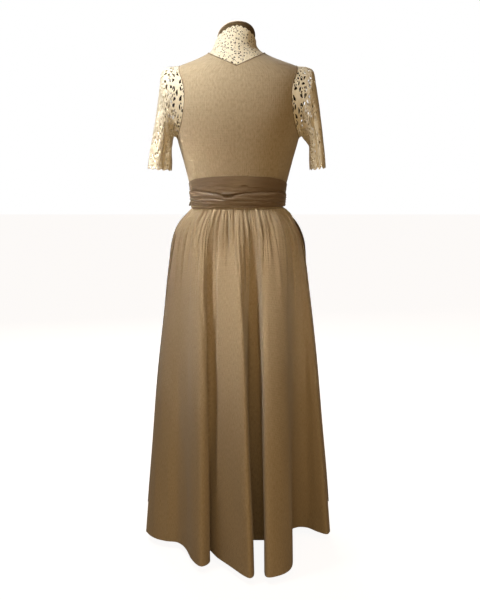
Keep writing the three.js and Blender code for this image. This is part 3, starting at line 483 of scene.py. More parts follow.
def woven_height(tree, thread_mm, slub_strength):
    """A plain weave as height: warp and weft bands, with thicker slubs along single threads."""
    per_metre = 1000 / thread_mm
    grid = on_the_cut(tree, per_metre, per_metre)
    wobble = node(tree, "ShaderNodeTexNoise", Vector=on_the_cut(tree, 90, 60), Scale=1.0, Detail=2.0)
    bent = node(
        tree, "ShaderNodeVectorMath", operation="MULTIPLY_ADD", i0=wobble.outputs[1], i1=(0.9, 0.9, 0),
        i2=grid,
    )
    warp, weft = (
        node(tree, "ShaderNodeTexWave", bands_direction=way, Vector=bent, Scale=BAND, Distortion=0.0)
        for way in "XY"
    )
    crossed = node(
        tree, "ShaderNodeMath", operation="ADD", i0=warp.outputs[HEIGHT], i1=weft.outputs[HEIGHT]
    )
    slub = node(
        tree, "ShaderNodeTexNoise", Vector=on_the_cut(tree, 260, 90), Scale=1.0, Detail=3.0,
        Roughness=0.7,
    )
    height = node(tree, "ShaderNodeMath", operation="MULTIPLY_ADD", i0=slub, i1=slub_strength, i2=crossed)
    return height, slub


def slubby_linen():
    """Linen and cotton in a plain weave, piece dyed taupe: dry and matt, with uneven threads."""
    material, tree = empty_material("slubby_linen")
    # Threads are 0.5 mm in the cloth and drawn 2.2 mm wide so that the weave shows at this size
    height, slub = woven_height(tree, 2.2, 1.1)
    thin = node(tree, "ShaderNodeMapRange", Value=slub, To_Min=-0.6, To_Max=1.6)
    threads = node(
        tree, "ShaderNodeMix", data_type="RGBA", i0=thin, i6=linear("#9f9077"), i7=linear("#c9bb9f")
    )
    weft = node(tree, "ShaderNodeTexNoise", Vector=on_the_cut(tree, 70, 240), Scale=1.0, Detail=2.0)
    thin_weft = node(tree, "ShaderNodeMapRange", Value=weft, To_Min=-0.5, To_Max=0.9)
    crossed = node(
        tree, "ShaderNodeMix", data_type="RGBA", i0=thin_weft, i6=threads.outputs[MIXED],
        i7=linear("#bfae90"),
    )
    worn = node(tree, "ShaderNodeTexNoise", Vector=on_the_cut(tree, 7, 5), Scale=1.0, Detail=3.0)
    wear = node(tree, "ShaderNodeMapRange", Value=worn, To_Min=0.0, To_Max=0.35)
    colour = node(
        tree, "ShaderNodeMix", data_type="RGBA", i0=wear, i6=crossed.outputs[MIXED], i7=linear("#ae9c7f")
    )
    bump = node(tree, "ShaderNodeBump", Strength=0.35, Distance=0.0009, Height=height)
    shader = node(
        tree, "ShaderNodeBsdfPrincipled", Base_Color=colour.outputs[MIXED], Roughness=0.88, IOR=1.46,
        Normal=bump, Sheen_Weight=0.22, Sheen_Roughness=0.5, Specular_IOR_Level=0.28,
    )
    node(tree, "ShaderNodeOutputMaterial", Surface=shader)
    return material


def crumpled_taffeta(name, dark, light, crumple_depth):
    """Silk-like taffeta with a fine crosswise rib: a broken gloss that runs along its crumples, with a
    painted highlight on their crests and painted shade in their hollows.

    The crumples' depth is in metres."""
    material, tree = empty_material(name)
    # Ribs are 0.4 mm in the cloth and drawn 1.6 mm wide
    ribs = node(
        tree, "ShaderNodeTexWave", bands_direction="Y", Vector=on_the_cut(tree, 625, 625), Scale=BAND,
        Distortion=1.2, Detail=2.0,
    )
    crumple = node(
        tree, "ShaderNodeTexNoise", Vector=on_the_cut(tree, 16, 75), Scale=1.0, Detail=4.0,
        Roughness=0.62,
    )
    share = node(tree, "ShaderNodeMapRange", Value=crumple, To_Min=0.15, To_Max=0.85)
    # The tones mix by the crumples' height, the same height that makes their bump: the light tone is a
    # painted highlight on the crests and the dark tone painted shade in the hollows.
    tint = node(tree, "ShaderNodeMix", data_type="RGBA", i0=share, i6=linear(dark), i7=linear(light))
    fine = node(tree, "ShaderNodeBump", Strength=0.12, Distance=0.0004, Height=ribs.outputs[HEIGHT])
    bump = node(tree, "ShaderNodeBump", Strength=0.8, Distance=crumple_depth, Height=crumple, Normal=fine)
    rough = node(tree, "ShaderNodeMapRange", Value=crumple, To_Min=0.26, To_Max=0.44)
    shader = node(
        tree, "ShaderNodeBsdfPrincipled", Base_Color=tint.outputs[MIXED], Roughness=rough, IOR=1.5,
        Normal=bump, Sheen_Weight=0.25, Sheen_Roughness=0.3, Specular_IOR_Level=0.55,
    )
    node(tree, "ShaderNodeOutputMaterial", Surface=shader)
    return material


def cotton_guipure():
    """Embroidered cotton lace: packed satin stitches of cream thread, with a painted highlight near white on
    their raised relief and painted shade of deep cream in the hollows.
    """
    material, tree = empty_material("cotton_guipure")
    # Stitches are 0.4 mm in the lace and drawn 2 mm wide
    stitches = node(
        tree, "ShaderNodeTexWave", bands_direction="DIAGONAL", Vector=on_the_cut(tree, 700, 700),
        Scale=BAND, Distortion=5.0, Detail=2.0, Detail_Scale=0.35,
    )
    relief = node(tree, "ShaderNodeTexNoise", Vector=on_the_cut(tree, 170, 170), Scale=1.0, Detail=2.0)
    height = node(
        tree, "ShaderNodeMath", operation="MULTIPLY_ADD", i0=stitches.outputs[HEIGHT], i1=0.35, i2=relief
    )
    # The two tones follow the relief that also makes the bump: near white is a painted highlight on the
    # raised stitching and deep cream is painted shade in the hollows.
    tint = node(
        tree, "ShaderNodeMix", data_type="RGBA", i0=relief, i6=linear("#e4d8b4"), i7=linear("#fbf8ea")
    )
    bump = node(tree, "ShaderNodeBump", Strength=0.6, Distance=0.0014, Height=height)
    shader = node(
        tree, "ShaderNodeBsdfPrincipled", Base_Color=tint.outputs[MIXED], Roughness=0.8, IOR=1.5,
        Normal=bump, Sheen_Weight=0.2, Sheen_Roughness=0.4, Specular_IOR_Level=0.35,
    )
    node(tree, "ShaderNodeOutputMaterial", Surface=shader)
    return material


def bias_binding():
    """The dress cloth cut on the bias and rolled over the edge: the same threads, a little greyer."""
    material, tree = empty_material("bias_binding")
    height, slub = woven_height(tree, 1.6, 0.8)
    share = node(tree, "ShaderNodeMapRange", Value=slub, To_Min=0.1, To_Max=0.9)
    tint = node(
        tree, "ShaderNodeMix", data_type="RGBA", i0=share, i6=linear("#7d6f58"), i7=linear("#9f9076")
    )
    bump = node(tree, "ShaderNodeBump", Strength=0.3, Distance=0.0006, Height=height)
    shader = node(
        tree, "ShaderNodeBsdfPrincipled", Base_Color=tint.outputs[MIXED], Roughness=0.7, IOR=1.46,
        Normal=bump, Sheen_Weight=0.2, Specular_IOR_Level=0.35,
    )
    node(tree, "ShaderNodeOutputMaterial", Surface=shader)
    return material


def jersey_cover():
    """Black-brown cotton jersey stretched over the form: a soft knit with no gloss."""
    material, tree = empty_material("jersey_cover")
    place = node(tree, "ShaderNodeTexCoord").outputs["Object"]
    # Stitches of the knit are 2.4 mm apart
    knit = node(tree, "ShaderNodeTexNoise", Vector=place, Scale=420.0, Detail=2.0)
    tint = node(
        tree, "ShaderNodeMix", data_type="RGBA", i0=knit, i6=linear("#1a130d"), i7=linear("#2e241a")
    )
    bump = node(tree, "ShaderNodeBump", Strength=0.3, Distance=0.0006, Height=knit)
    shader = node(
        tree, "ShaderNodeBsdfPrincipled", Base_Color=tint.outputs[MIXED], Roughness=0.9, IOR=1.46,
        Normal=bump, Sheen_Weight=0.15, Specular_IOR_Level=0.25,
    )
    node(tree, "ShaderNodeOutputMaterial", Surface=shader)
    return material


def stained_beech():
    """Turned beech, stained dark and lacquered: faint grain round the cap and a narrow soft highlight."""
    material, tree = empty_material("stained_beech")
    place = node(tree, "ShaderNodeTexCoord").outputs["Object"]
    # Growth rings are 6 mm apart
    grain = node(
        tree, "ShaderNodeTexWave", wave_type="RINGS", Vector=place, Scale=52.0, Distortion=3.0,
        Detail=3.0, Detail_Scale=1.5,
    )
    flecks = node(tree, "ShaderNodeTexNoise", Vector=place, Scale=260.0, Detail=3.0)
    ringed = node(
        tree, "ShaderNodeMix", data_type="RGBA", i0=grain.outputs[HEIGHT], i6=linear("#54452f"),
        i7=linear("#6f5e42"),
    )
    flecked = node(tree, "ShaderNodeMapRange", Value=flecks, To_Min=0.0, To_Max=0.5)
    tint = node(
        tree, "ShaderNodeMix", data_type="RGBA", i0=flecked, i6=ringed.outputs[MIXED],
        i7=linear("#463824"),
    )
    bump = node(tree, "ShaderNodeBump", Strength=0.1, Distance=0.0004, Height=flecks)
    shader = node(
        tree, "ShaderNodeBsdfPrincipled", Base_Color=tint.outputs[MIXED], Roughness=0.42, IOR=1.5,
        Normal=bump, Coat_Weight=0.3, Coat_Roughness=0.25,
    )
    node(tree, "ShaderNodeOutputMaterial", Surface=shader)
    return material


def powder_coated_steel():
    """Steel tube and bar, powder coated black: a fine orange peel and a dull gloss."""
    material, tree = empty_material("powder_coated_steel")
    place = node(tree, "ShaderNodeTexCoord").outputs["Object"]
    peel = node(tree, "ShaderNodeTexNoise", Vector=place, Scale=900.0, Detail=1.0)
    dust = node(tree, "ShaderNodeTexNoise", Vector=place, Scale=14.0, Detail=4.0)
    dusty = node(tree, "ShaderNodeMapRange", Value=dust, To_Min=0.0, To_Max=0.4)
    tint = node(
        tree, "ShaderNodeMix", data_type="RGBA", i0=dusty, i6=linear("#221f1c"), i7=linear("#3c3731")
    )
    bump = node(tree, "ShaderNodeBump", Strength=0.15, Distance=0.0003, Height=peel)
    shader = node(
        tree, "ShaderNodeBsdfPrincipled", Base_Color=tint.outputs[MIXED], Roughness=0.5, IOR=1.5,
        Normal=bump,
    )
    node(tree, "ShaderNodeOutputMaterial", Surface=shader)
    return material


# Each finish is a material and the record's slot for it
LINEN = slubby_linen(), "linen"
# Both taffetas carry the painted highlight and painted shade of their crumples in their two tones.
TAFFETA = crumpled_taffeta("crumpled_taffeta", "#5e4d39", "#96826a", 0.0032), "taffeta"
APRON_TAFFETA = crumpled_taffeta("apron_taffeta", "#4a3826", "#6b553b", 0.0010), "taffeta"
LACE = cotton_guipure(), "lace"
BINDING = bias_binding(), "piping"
JERSEY = jersey_cover(), "form_cover"
BEECH = stained_beech(), "cap"
STEEL = powder_coated_steel()


# Dress form and stand


def form_piece(name, low, high, step, finish, replaced):
    """A length of the form between two heights, closed with a flat cap at each end."""
    u, v = np.meshgrid(np.arange(-180, 180, 3.75 / DENSITY), steps(low, high, step), indexing="ij")
    points = skin(u.ravel(), v.ravel())
    index = np.arange(u.size).reshape(u.shape)
    following = np.roll(index, -1, axis=0)
    corners = [index[:, :-1], index[:, 1:], following[:, 1:], following[:, :-1]]
    quads = np.stack(corners, -1).reshape(-1, 4)
    caps = [index[:, 0].tolist(), index[::-1, -1].tolist()]
    smooth = [True] * len(quads) + [False, False]
    make_object(name, points, quads.tolist() + caps, smooth, points[:, [0, 2]], finish, replaced)


def dress_form():
    form_piece("form_body", -152, 445.7, 6, JERSEY, "form_torso")
    form_piece("form_cap", 446, 502.4, 1.9, BEECH, "form_neck_cap")
    # The pole and the foot keep the shapes of the CAD model and take the steel alone
    for name in ("stand_pole", "stand_base"):
        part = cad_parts[name]
        part.data.materials.clear()
        part.data.materials.append(STEEL)


# Bodice


def edge_distance(points, x, above):
    """How far below an edge of (across, above) points a point lies, mirrored about the centre line."""
    across = np.abs(x - NECK_SHIFT)
    best = np.full(across.shape, FAR)
    side = np.ones(across.shape)
    # The line starts over the shoulder, so the opening runs off the top of the cloth
    line = [(points[0][0] + 14, points[0][1] + 60), *points]
    for (start_x, start_z), (end_x, end_z) in zip(line, line[1:]):
        run_x, run_z = end_x - start_x, end_z - start_z
        length = run_x**2 + run_z**2
        t = np.clip(((across - start_x) * run_x + (above - start_z) * run_z) / length, 0, 1)
        gap_x, gap_z = across - start_x - t * run_x, above - start_z - t * run_z
        distance = np.hypot(gap_x, gap_z)
        turn = run_x * gap_z - run_z * gap_x
        closer = distance < best
        best = np.where(closer, distance, best)
        side = np.where(closer, np.sign(turn), side)
    return best * side


def through(points, places, where):
    """The coordinates of a smooth curve through points that lie at the given places along it."""
    rows = [(place, *point) for place, point in zip(places, points)]
    columns = range(len(rows[0]))
    return [curve(columns, rows, column)(where) for column in columns[1:]]


def smooth_line(points, count):
    """A curve through (across, above) points, as more points."""
    places = range(len(points))
    return list(zip(*through(points, places, np.linspace(0, places[-1], count))))


FRONT_NECK_LINE = smooth_line(FRONT_NECK, 17)
BACK_NECK_LINE = [*smooth_line(BACK_NECK[:3], 9), BACK_NECK[3]]


def neck_margin(angle, above):
    """Distance outside the neck opening, negative inside it."""
    x = skin(angle, above)[..., 0]
    back = edge_distance(BACK_NECK_LINE, x, above)
    front = edge_distance(FRONT_NECK_LINE, x, above)
    return np.where(np.cos(np.radians(angle)) > 0, back, front)


def armhole_margin(angle, above):
    """Distance outside the armhole's oval, negative inside it."""
    place = skin(angle, above)
    behind = place[..., 1]
    depth = np.where(behind > 0, ARMHOLE["back"], ARMHOLE["front"])
    tall = ARMHOLE["tall"]
    power = 2 / ARMHOLE["roundness"]
    ratio = (np.abs(behind) / depth) ** power + (np.abs(above - ARMHOLE["above"]) / tall) ** power
    margin = (ratio ** (1 / power) - 1) * np.minimum(depth, tall)
    at_the_side = np.abs(place[..., 0]) > 90
    return np.where(at_the_side, margin, 60)


def armhole_line(turn, inset):
    """The armhole's oval by its turn from the top over the back, as angles and heights on the figure."""
    sine = np.sin(np.radians(turn))
    reach = np.where(sine > 0, ARMHOLE["back"], ARMHOLE["front"]) - inset
    behind = reach * signed_power(sine, ARMHOLE["roundness"])
    rise = signed_power(np.cos(np.radians(turn)), ARMHOLE["roundness"])
    above = ARMHOLE["above"] + (ARMHOLE["tall"] - inset) * rise
    depth = np.where(behind > 0, body["back"](above), body["front"](above))
    exponent = 2 / body["square"](above)
    cosine = signed_power(np.clip((behind - body["lean"](above)) / depth, -1, 1), 1 / exponent)
    return np.degrees(np.arccos(np.clip(cosine, -1, 1))), above


def centre_line(above):
    """How far the centre seams lean to the left on their way up."""
    return 6 * np.clip(above / 400, 0, 1)


# Drags of the bodice's back: place, lean in degrees for each mm up, start and end above the waist, and depth
DRAGS = [
    (58, -0.10, 60, 150, 1.6),
    (47, -0.06, 58, 120, -1.3),
    (-52, 0.09, 60, 165, 1.7),
    (-40, 0.05, 58, 110, -1.2),
    (72, 0.02, 110, 175, 1.4),
    (-74, -0.03, 105, 180, 1.5),
]


def bodice_relief(angle, above):
    """Soft pulls of the worn bodice: drags from the waist and the arms, and fullness over the back."""
    drags = 0
    for place, lean, low, high, depth in DRAGS:
        middle = place + lean * (above - low)
        ends = smoothstep(low, low + 22, above) * (1 - smoothstep(high - 35, high, above))
        drags = drags + depth * ends * np.exp(-(((angle - middle) / 4.5) ** 2))
    blades = 2.2 * np.exp(-(((np.abs(angle) - 36) / 16) ** 2) - ((above - 262) / 55) ** 2)
    # A short dent lies beside the centre seam, under the point of the neckline
    dent = -1.1 * np.exp(-(((angle - 2.3) / 1.1) ** 2)) * smoothstep(346, 356, above) * (above < 374)
    return drags + blades + dent


def bodice_panel(name, low, high, side):
    """One of four panels between two angles, on the left (1) or right (-1) of the centre seams."""

    def keep(angle, above):
        x = skin(angle, above)[..., 0]
        seam = side * (x - centre_line(above)) - 0.04
        return np.minimum(np.minimum(neck_margin(angle, above), armhole_margin(angle, above)), seam)

    def flat(angle, above):
        return angle * 2.25, above

    grid = trimmed_grid(steps(low, high, 1.35), steps(0.3, 431, 4.2), keep)
    piece = cloth(f"{name}_cloth", skin, grid, BODICE_WALLS, flat, LINEN, name, bodice_relief)


def bodice():
    bodice_panel("bodice_back_left", -2, 89.9, 1)
    bodice_panel("bodice_back_right", -89.9, 4, -1)
    bodice_panel("bodice_front_left", 90.1, 182, 1)
    bodice_panel("bodice_front_right", -184, -90.1, -1)


def angle_at(x, above, behind):
    """The angle on the figure's back or front where it passes a place across."""
    exponent = 2 / body["square"](above)
    share = np.clip((x - body["shift"](above)) / body["side"](above), -0.9999, 0.9999)
    turn = np.degrees(np.arcsin(signed_power(share, 1 / exponent)))
    return np.where(behind, turn, 180 - turn)


def rolled_edge(name, angle, above, closed, replaced):
    """A rolled binding that follows a line on the bodice, as a tube of small oval sections."""
    base = skin(angle, above)
    normal = outward(skin, angle, above)
    run = np.roll(base, -1, 0) - np.roll(base, 1, 0) if closed else np.gradient(base, axis=0)
    run /= np.linalg.norm(run, axis=1, keepdims=True)
    aside = np.cross(normal, run)
    sides = ROLL["sides"]
    rings = []
    for turn in np.arange(sides) * 2 * math.pi / sides:
        out = ROLL["out"] + ROLL["height"] / 2 * math.sin(turn)
        rings.append(base + normal * out + aside * (ROLL["width"] / 2 * math.cos(turn)))
    points = np.stack(rings, 1).reshape(-1, 3)
    count = len(base)
    index = np.arange(count * sides).reshape(count, sides)
    if closed:
        index = np.concatenate([index, index[:1]])
    across = np.roll(index, -1, axis=1)
    quads = np.stack([index[:-1], index[1:], across[1:], across[:-1]], -1).reshape(-1, 4)
    faces = quads.tolist()
    if not closed:
        faces += [index[0].tolist(), index[-1][::-1].tolist()]
    first = points[quads[0]]
    facing = np.cross(first[1] - first[0], first[2] - first[0])
    if facing @ (points[0] - base[0] - normal[0] * ROLL["out"]) < 0:
        faces = [face[::-1] for face in faces]
    around = np.tile(np.arange(sides) * ROLL["side"], count)
    along = np.repeat(np.arange(count) * ROLL["ring"], sides)
    flat = np.stack([around, along], -1)
    make_object(name, points, faces, np.ones(len(faces), bool), flat, BINDING, replaced)


def neck_run(line, side, behind):
    """Angles and heights along half a neckline, from the shoulder to the centre."""
    last = len(line) - 1
    across, above = through(line, range(len(line)), np.linspace(0, last, 90))
    x = NECK_SHIFT + side * across
    inside = np.abs(x - body["shift"](above)) < body["side"](above) * 0.999
    return angle_at(x[inside], above[inside], behind), above[inside]


def bindings():
    for side, word in ((1, "left"), (-1, "right")):
        back_angle, back_above = neck_run(BACK_NECK_LINE, side, True)
        front_angle, front_above = neck_run(FRONT_NECK_LINE, side, False)
        # Angles on the right are negative, round to the centre front and just past it
        if side < 0:
            front_angle = np.where(front_angle > 0, front_angle - 360, front_angle)
        # Seven rings carry the binding over the shoulder
        bridge = np.linspace(0, 1, 9)[1:-1]
        over = back_angle[0] + (front_angle[0] - back_angle[0]) * bridge
        rise = back_above[0] + (front_above[0] - back_above[0]) * bridge
        angle = np.concatenate([back_angle[::-1], over, front_angle])
        above = np.concatenate([back_above[::-1], rise, front_above])
        rolled_edge(f"neck_binding_{word}", angle, above, False, f"neck_piping_{word}")
        angle, above = armhole_line(np.linspace(0, 360, 181)[:-1], 0)
        rolled_edge(f"armhole_binding_{word}", angle * side, above, True, f"armhole_piping_{word}")


# Lace


def mottle(row, place, seed):
    """A repeatable value from 0 to 1 for one flower of the lace."""
    value = np.sin(row * 127.1 + place * 311.7 + seed * 74.7) * 43758.5453
    return value - np.floor(value)


# The lace's pattern, as shares of the space between flowers: how far a flower strays, the arc of holes
# outside its petals, and the slits between them
FLOWER = {"stray": 0.45, "arc": 0.3, "arc_stray": 0.12, "arc_step": 0.25, "hole": 0.075, "hole_more": 0.05}
SLIT = {"wide": 0.05, "middle": 0.19, "reach_squared": 0.0121}
# The value of a hole that is stitched shut, well over any thread's
CLOSED = 9


def guipure(s, t, pitch, shift, openness):
    """The lace at flat coordinates in mm, positive on thread and negative in a hole.

    It is packed stitching, opened round each flower by curved holes outside its petals and slits between
    them. Openness is the share of those holes it has."""
    s = s + shift
    rise = pitch * 0.866
    row = np.floor(t / rise)
    first, second = np.full((2, *s.shape), FAR)
    turn, up, along = np.zeros((3, *s.shape))
    for up_step in (-1, 0, 1):
        for side_step in (-1, 0, 1):
            near_row = row + up_step
            offset = 0.5 * (near_row % 2)
            near = np.floor(s / pitch - offset) + side_step
            stray_s = (mottle(near_row, near, 1) - 0.5) * FLOWER["stray"]
            stray_t = (mottle(near_row, near, 2) - 0.5) * FLOWER["stray"]
            away_s = s - (near + 0.5 + offset + stray_s) * pitch
            away_t = t - (near_row + 0.5 + stray_t) * rise
            distance = np.hypot(away_s, away_t)
            closer = distance < first
            second = np.where(closer, first, np.minimum(second, distance))
            turn = np.where(closer, np.arctan2(away_t, away_s), turn)
            up, along = np.where(closer, near_row, up), np.where(closer, near, along)
            first = np.where(closer, distance, first)
    pick = mottle(up, along, 3)
    petals = np.where(pick > 0.5, 6, 5)
    phase = petals * (turn / (2 * math.pi) + pick)
    petal = np.round(phase)
    aside = phase - petal
    own = mottle(up + petal % petals, along, 4)
    ring = FLOWER["arc"] + FLOWER["arc_stray"] * mottle(up, along + petal % petals, 5)
    ring = pitch * (ring + FLOWER["arc_step"] * np.abs(aside) * (own > 0.5))
    wide = pitch * (FLOWER["hole"] + FLOWER["hole_more"] * own)
    arc = np.abs(first - ring) - wide * (1 - (aside / 0.4) ** 2)
    arc = np.where(mottle(petal % petals, up + along, 6) < openness, arc, CLOSED)
    between = phase - 0.5
    gap = (between - np.round(between)) * 2 * math.pi * first / petals
    shape = 1 - (first / pitch - SLIT["middle"]) ** 2 / SLIT["reach_squared"]
    slit = np.abs(gap) - pitch * SLIT["wide"] * shape
    slit = np.where(mottle(np.floor(phase) % petals, up - along, 7) < openness, slit, CLOSED)
    # A thread always runs half way between two flowers
    return np.maximum(np.minimum(arc, slit), 0.5 - (second - first) / 2)


def yoke(name, low, high, replaced):
    """The blouse's body: lace where it shows in the neckline, plain where the bodice hides it."""

    def keep(angle, above):
        place = skin(angle, above)
        fallen = above - 0.75 * np.abs(place[..., 1])
        lace = guipure(place[..., 0], fallen, 21.0, 7.0, 0.62)
        thread = np.maximum(lace, neck_margin(angle, above) + 1.5)
        level = collar_seam(angle) - 0.05 - above
        return np.minimum(np.minimum(thread, level), armhole_margin(angle, above) - 4)

    def flat(angle, above):
        return angle * 2.2, above

    middle, spread = (low + high) / 2, (high - low) / 2
    us = middle + spread * signed_power(np.linspace(-1, 1, round(150 * DENSITY)), 1.25)
    # Rows lie close where the lace shows and far apart below it
    behind = middle == 0
    lowest = 372 if behind else 246
    vs = np.concatenate([steps(162, lowest, 14)[:-1], steps(lowest, 432, 1.5 if behind else 2.6)])
    piece = cloth(name, skin, trimmed_grid(us, vs, keep), (0.85, 1.95), flat, LACE, replaced)


def collar_seam(angle):
    facing = (1 + np.cos(np.radians(angle))) / 2
    return COLLAR["seam_front"] + (COLLAR["seam_back"] - COLLAR["seam_front"]) * facing


def collar_height(angle):
    """How far the collar stands above its seam."""
    facing = (1 + np.cos(np.radians(angle))) / 2
    top = COLLAR["top_front"] + (COLLAR["top_back"] - COLLAR["top_front"]) * facing ** COLLAR["rise"]
    return top - collar_seam(angle)


def collar_surface(angle, share):
    """The stand collar: share runs from its seam to its scalloped top."""
    return skin(angle, collar_seam(angle) + 0.05 + collar_height(angle) * share)


def collar_half(name, low, high):
    radius = COLLAR_EDGE["radius"]

    def keep(angle, share):
        s = np.radians(angle) * radius
        t = share * collar_height(angle)
        scallop = np.abs(np.cos(np.radians(angle) * COLLAR_EDGE["scallops"] / 2))
        margin = collar_height(angle) - COLLAR_EDGE["scallop"] * (1 - scallop**0.7) - t
        cord = np.minimum(1.7 - margin, margin + 9)
        return np.minimum(np.maximum(guipure(s, t, 19.0, 3.0, 0.6), cord), margin)

    def settle(angle, share):
        return 0.8 * waver(angle * 0.09, 3) * share - 0.95 * (1 - smoothstep(0, 0.25, share))

    def flat(angle, share):
        return np.radians(angle) * radius, share * collar_height(angle)

    grid = trimmed_grid(steps(low, high, 1.25), steps(0, 1, 0.026), keep)
    piece = cloth(f"{name}_lace", collar_surface, grid, (1.85, 3.0), flat, LACE, name, settle)


def sleeve_surface(table, side):
    """A sleeve by its turn, in degrees from the shoulder over the back, and its ring."""
    smooth = curves(SLEEVE_COLUMNS, table)

    def free(turn, ring):
        outer_x, outer_z, inner_x, inner_z, depth = (smooth[key](ring) for key in SLEEVE_COLUMNS[1:])
        cosine = np.cos(np.radians(turn))
        x = (outer_x + inner_x) / 2 + cosine * (outer_x - inner_x) / 2
        z = WAIST + (outer_z + inner_z) / 2 + cosine * (outer_z - inner_z) / 2
        return np.stack([x, depth * np.sin(np.radians(turn)), z], -1)

    def seated(turn):
        angle, above = armhole_line(turn, -2)
        return skin(angle, above) + outward(skin, angle, above) * 1.6

    def surface(turn, ring):
        blend = np.clip(ring, 0, 1)[..., None]
        point = seated(turn) * (1 - blend) + free(turn, np.maximum(ring, 1)) * blend
        return point * np.array([side, 1, 1])

    return surface


# Soft troughs and ridges of each sleeve: turn, first and last ring, depth and width in degrees
LEFT_SLEEVE_FOLDS = [
    (118, 3.4, 8.6, -9, 13),
    (84, 3.6, 8.6, 4, 16),
    (146, 4.2, 8.6, 4, 12),
    (52, 2.0, 5.5, -3, 12),
    (228, 3.2, 8.6, -6, 14),
    (292, 2.4, 7.0, -3, 12),
]
RIGHT_SLEEVE_FOLDS = [
    (64, 2.6, 8.6, 5, 15),
    (98, 3.0, 8.6, -7, 13),
    (138, 4.0, 8.6, 4, 13),
    (238, 3.2, 8.6, -6, 14),
    (300, 2.4, 7.0, -3, 12),
]


def sleeve(word, table, folds, side):
    surface = sleeve_surface(table, side)
    rings = np.linspace(0, 8, 65)
    middle = surface(np.full(rings.shape, 90.0), rings)
    travel = np.concatenate([[0], np.cumsum(np.linalg.norm(np.diff(middle, axis=0), axis=1))])
    length = travel[-1]
    # Flat mm for each degree of turn
    around = 0.80

    def ring_at(distance):
        return np.interp(distance, travel, rings)

    def lined(turn, distance):
        return surface(turn, ring_at(distance))

    def relief(turn, distance):
        ring = ring_at(distance)
        lift = 1.2 * waver(turn * 0.05 + ring, 5) * smoothstep(0.4, 2, ring)
        for place, first, last, depth, width in folds:
            ends = smoothstep(first, first + 1.6, ring) * (1 - smoothstep(last - 1.2, last, ring))
            away = (turn - place + 180) % 360 - 180
            lift = lift + depth * ends * np.exp(-((away / width) ** 2))
        return lift

    def keep(turn, distance):
        facing = np.cos(np.radians(turn - 100))
        openness = 0.3 + 0.5 * (1 - smoothstep(60, 190, distance)) * np.clip(facing * 1.4, 0.35, 1)
        thread = guipure(turn * around, distance, 24.0, 11.0 * side, openness)
        # A scallop and its round eyelet lie at every 30 degrees of the cuff
        scallop = np.abs(np.cos(np.radians(turn) * 6))
        margin = length - distance - 8.0 * (1 - scallop**0.7)
        eyelet = np.hypot((turn - 30 * np.round(turn / 30)) * around, length - distance - 8.5)
        thread = np.where(eyelet < 5.4, eyelet - 2.4, thread)
        # A cord 2 mm wide follows the scallops, and a strip of thread the seam with the blouse
        thread = np.maximum(thread, np.minimum(2.0 - margin, margin + 9))
        thread = np.maximum(thread, 2.0 - distance)
        return np.minimum(thread, margin)

    for half, low, high in (("back", 0.22, 179.78), ("front", 180.22, 359.78)):
        u, v, faces = trimmed_grid(steps(low, high, 2.2), steps(0, length, 1.75), keep)
        base = lined(u, v)
        normal = outward(lined, u, v)
        middle_line = (lined(np.zeros_like(u), v) + lined(np.full_like(u, 180.0), v)) / 2
        if ((base - middle_line) * normal).sum() < 0:
            normal = -normal
        lift = relief(u, v)
        flat = np.stack([u * around, v], -1)
        name = f"sleeve_{word}_{half}"
        piece = shell(f"{name}_lace", base, normal, (lift - 0.7, lift + 0.7), faces, flat, LACE, name)


def blouse():
    yoke("blouse_body_back", -89.9, 89.9, "blouse_back")
    yoke("blouse_body_front", 90.1, 269.9, "blouse_front")
    collar_half("collar_left", 0.25, 179.75)
    collar_half("collar_right", -179.75, -0.25)
    sleeve("left", LEFT_SLEEVE, LEFT_SLEEVE_FOLDS, 1)
    sleeve("right", RIGHT_SLEEVE, RIGHT_SLEEVE_FOLDS, -1)


# Skirt and apron


def cone(angle, below):
    """The skirt without its folds."""
    angle, below = np.broadcast_arrays(np.asarray(angle, float), np.asarray(below, float))
    sine = np.sin(np.radians(angle))
    cosine = np.cos(np.radians(angle))
    depth = np.where(cosine > 0, flare["back"](below), flare["front"](below))
    exponent = 2 / flare["square"](below)
    x = flare["side"](below) * signed_power(sine, exponent)
    return np.stack([x, depth * signed_power(cosine, exponent), WAIST - below], -1)


def rounded_folds():
    """The back's fold edges as one curve with rounded turns, from the wearer's right to left."""
    points = np.array(BACK_FOLDS[::-1], float)
    chord = np.linalg.norm(np.diff(points, axis=0), axis=1) ** 0.5
    place = np.concatenate([[0], np.cumsum(chord)])
    return through(points, place, np.linspace(0, place[-1], 900))


FOLD_WAIST, FOLD_ACROSS, FOLD_BACK = rounded_folds()


def growth(below):
    return np.maximum(0, below / SKIRT_DROP) ** 0.95


def back_cone(angle, below):
    """The back of the skirt with its folds, which grow from nothing at the waist."""
    hem = cone(angle, SKIRT_DROP)
    point = cone(angle, below)
    grown = growth(below)
    point[..., 0] += grown * (np.interp(angle, FOLD_WAIST, FOLD_ACROSS) - hem[..., 0])
    point[..., 1] += grown * (np.interp(angle, FOLD_WAIST, FOLD_BACK) - hem[..., 1])
    return point


def front_cone(angle, below):
    """The front of the skirt with even folds, which fade out at the side seams."""
    wrapped = (angle + 180) % 360 - 180
    from_front = np.abs(wrapped) - 180
    share = np.cos(np.radians(from_front * FRONT_FOLD["squash"])) * growth(below)
    turns = np.radians(from_front * FRONT_FOLD["count"] * 2)
    wave = np.cos(turns) * FRONT_FOLD["depth"] * share
    point = cone(angle, below)
    direction = point * np.array([1, 1, 0])
    direction /= np.linalg.norm(direction, axis=-1, keepdims=True)
    edge = smoothstep(60, 90, np.abs(from_front))
    return point + direction * (wave * (1 - edge))[..., None]


def level_normal(surface, angle, below):
    """The outward direction of a skirt surface, kept level."""

    def by_height(turn, above):
        return surface(turn, -above)

    normal = outward(by_height, angle, -np.maximum(1.0, below)) * np.array([1, 1, 0])
    return normal / np.maximum(np.linalg.norm(normal, axis=-1, keepdims=True), 1e-9)


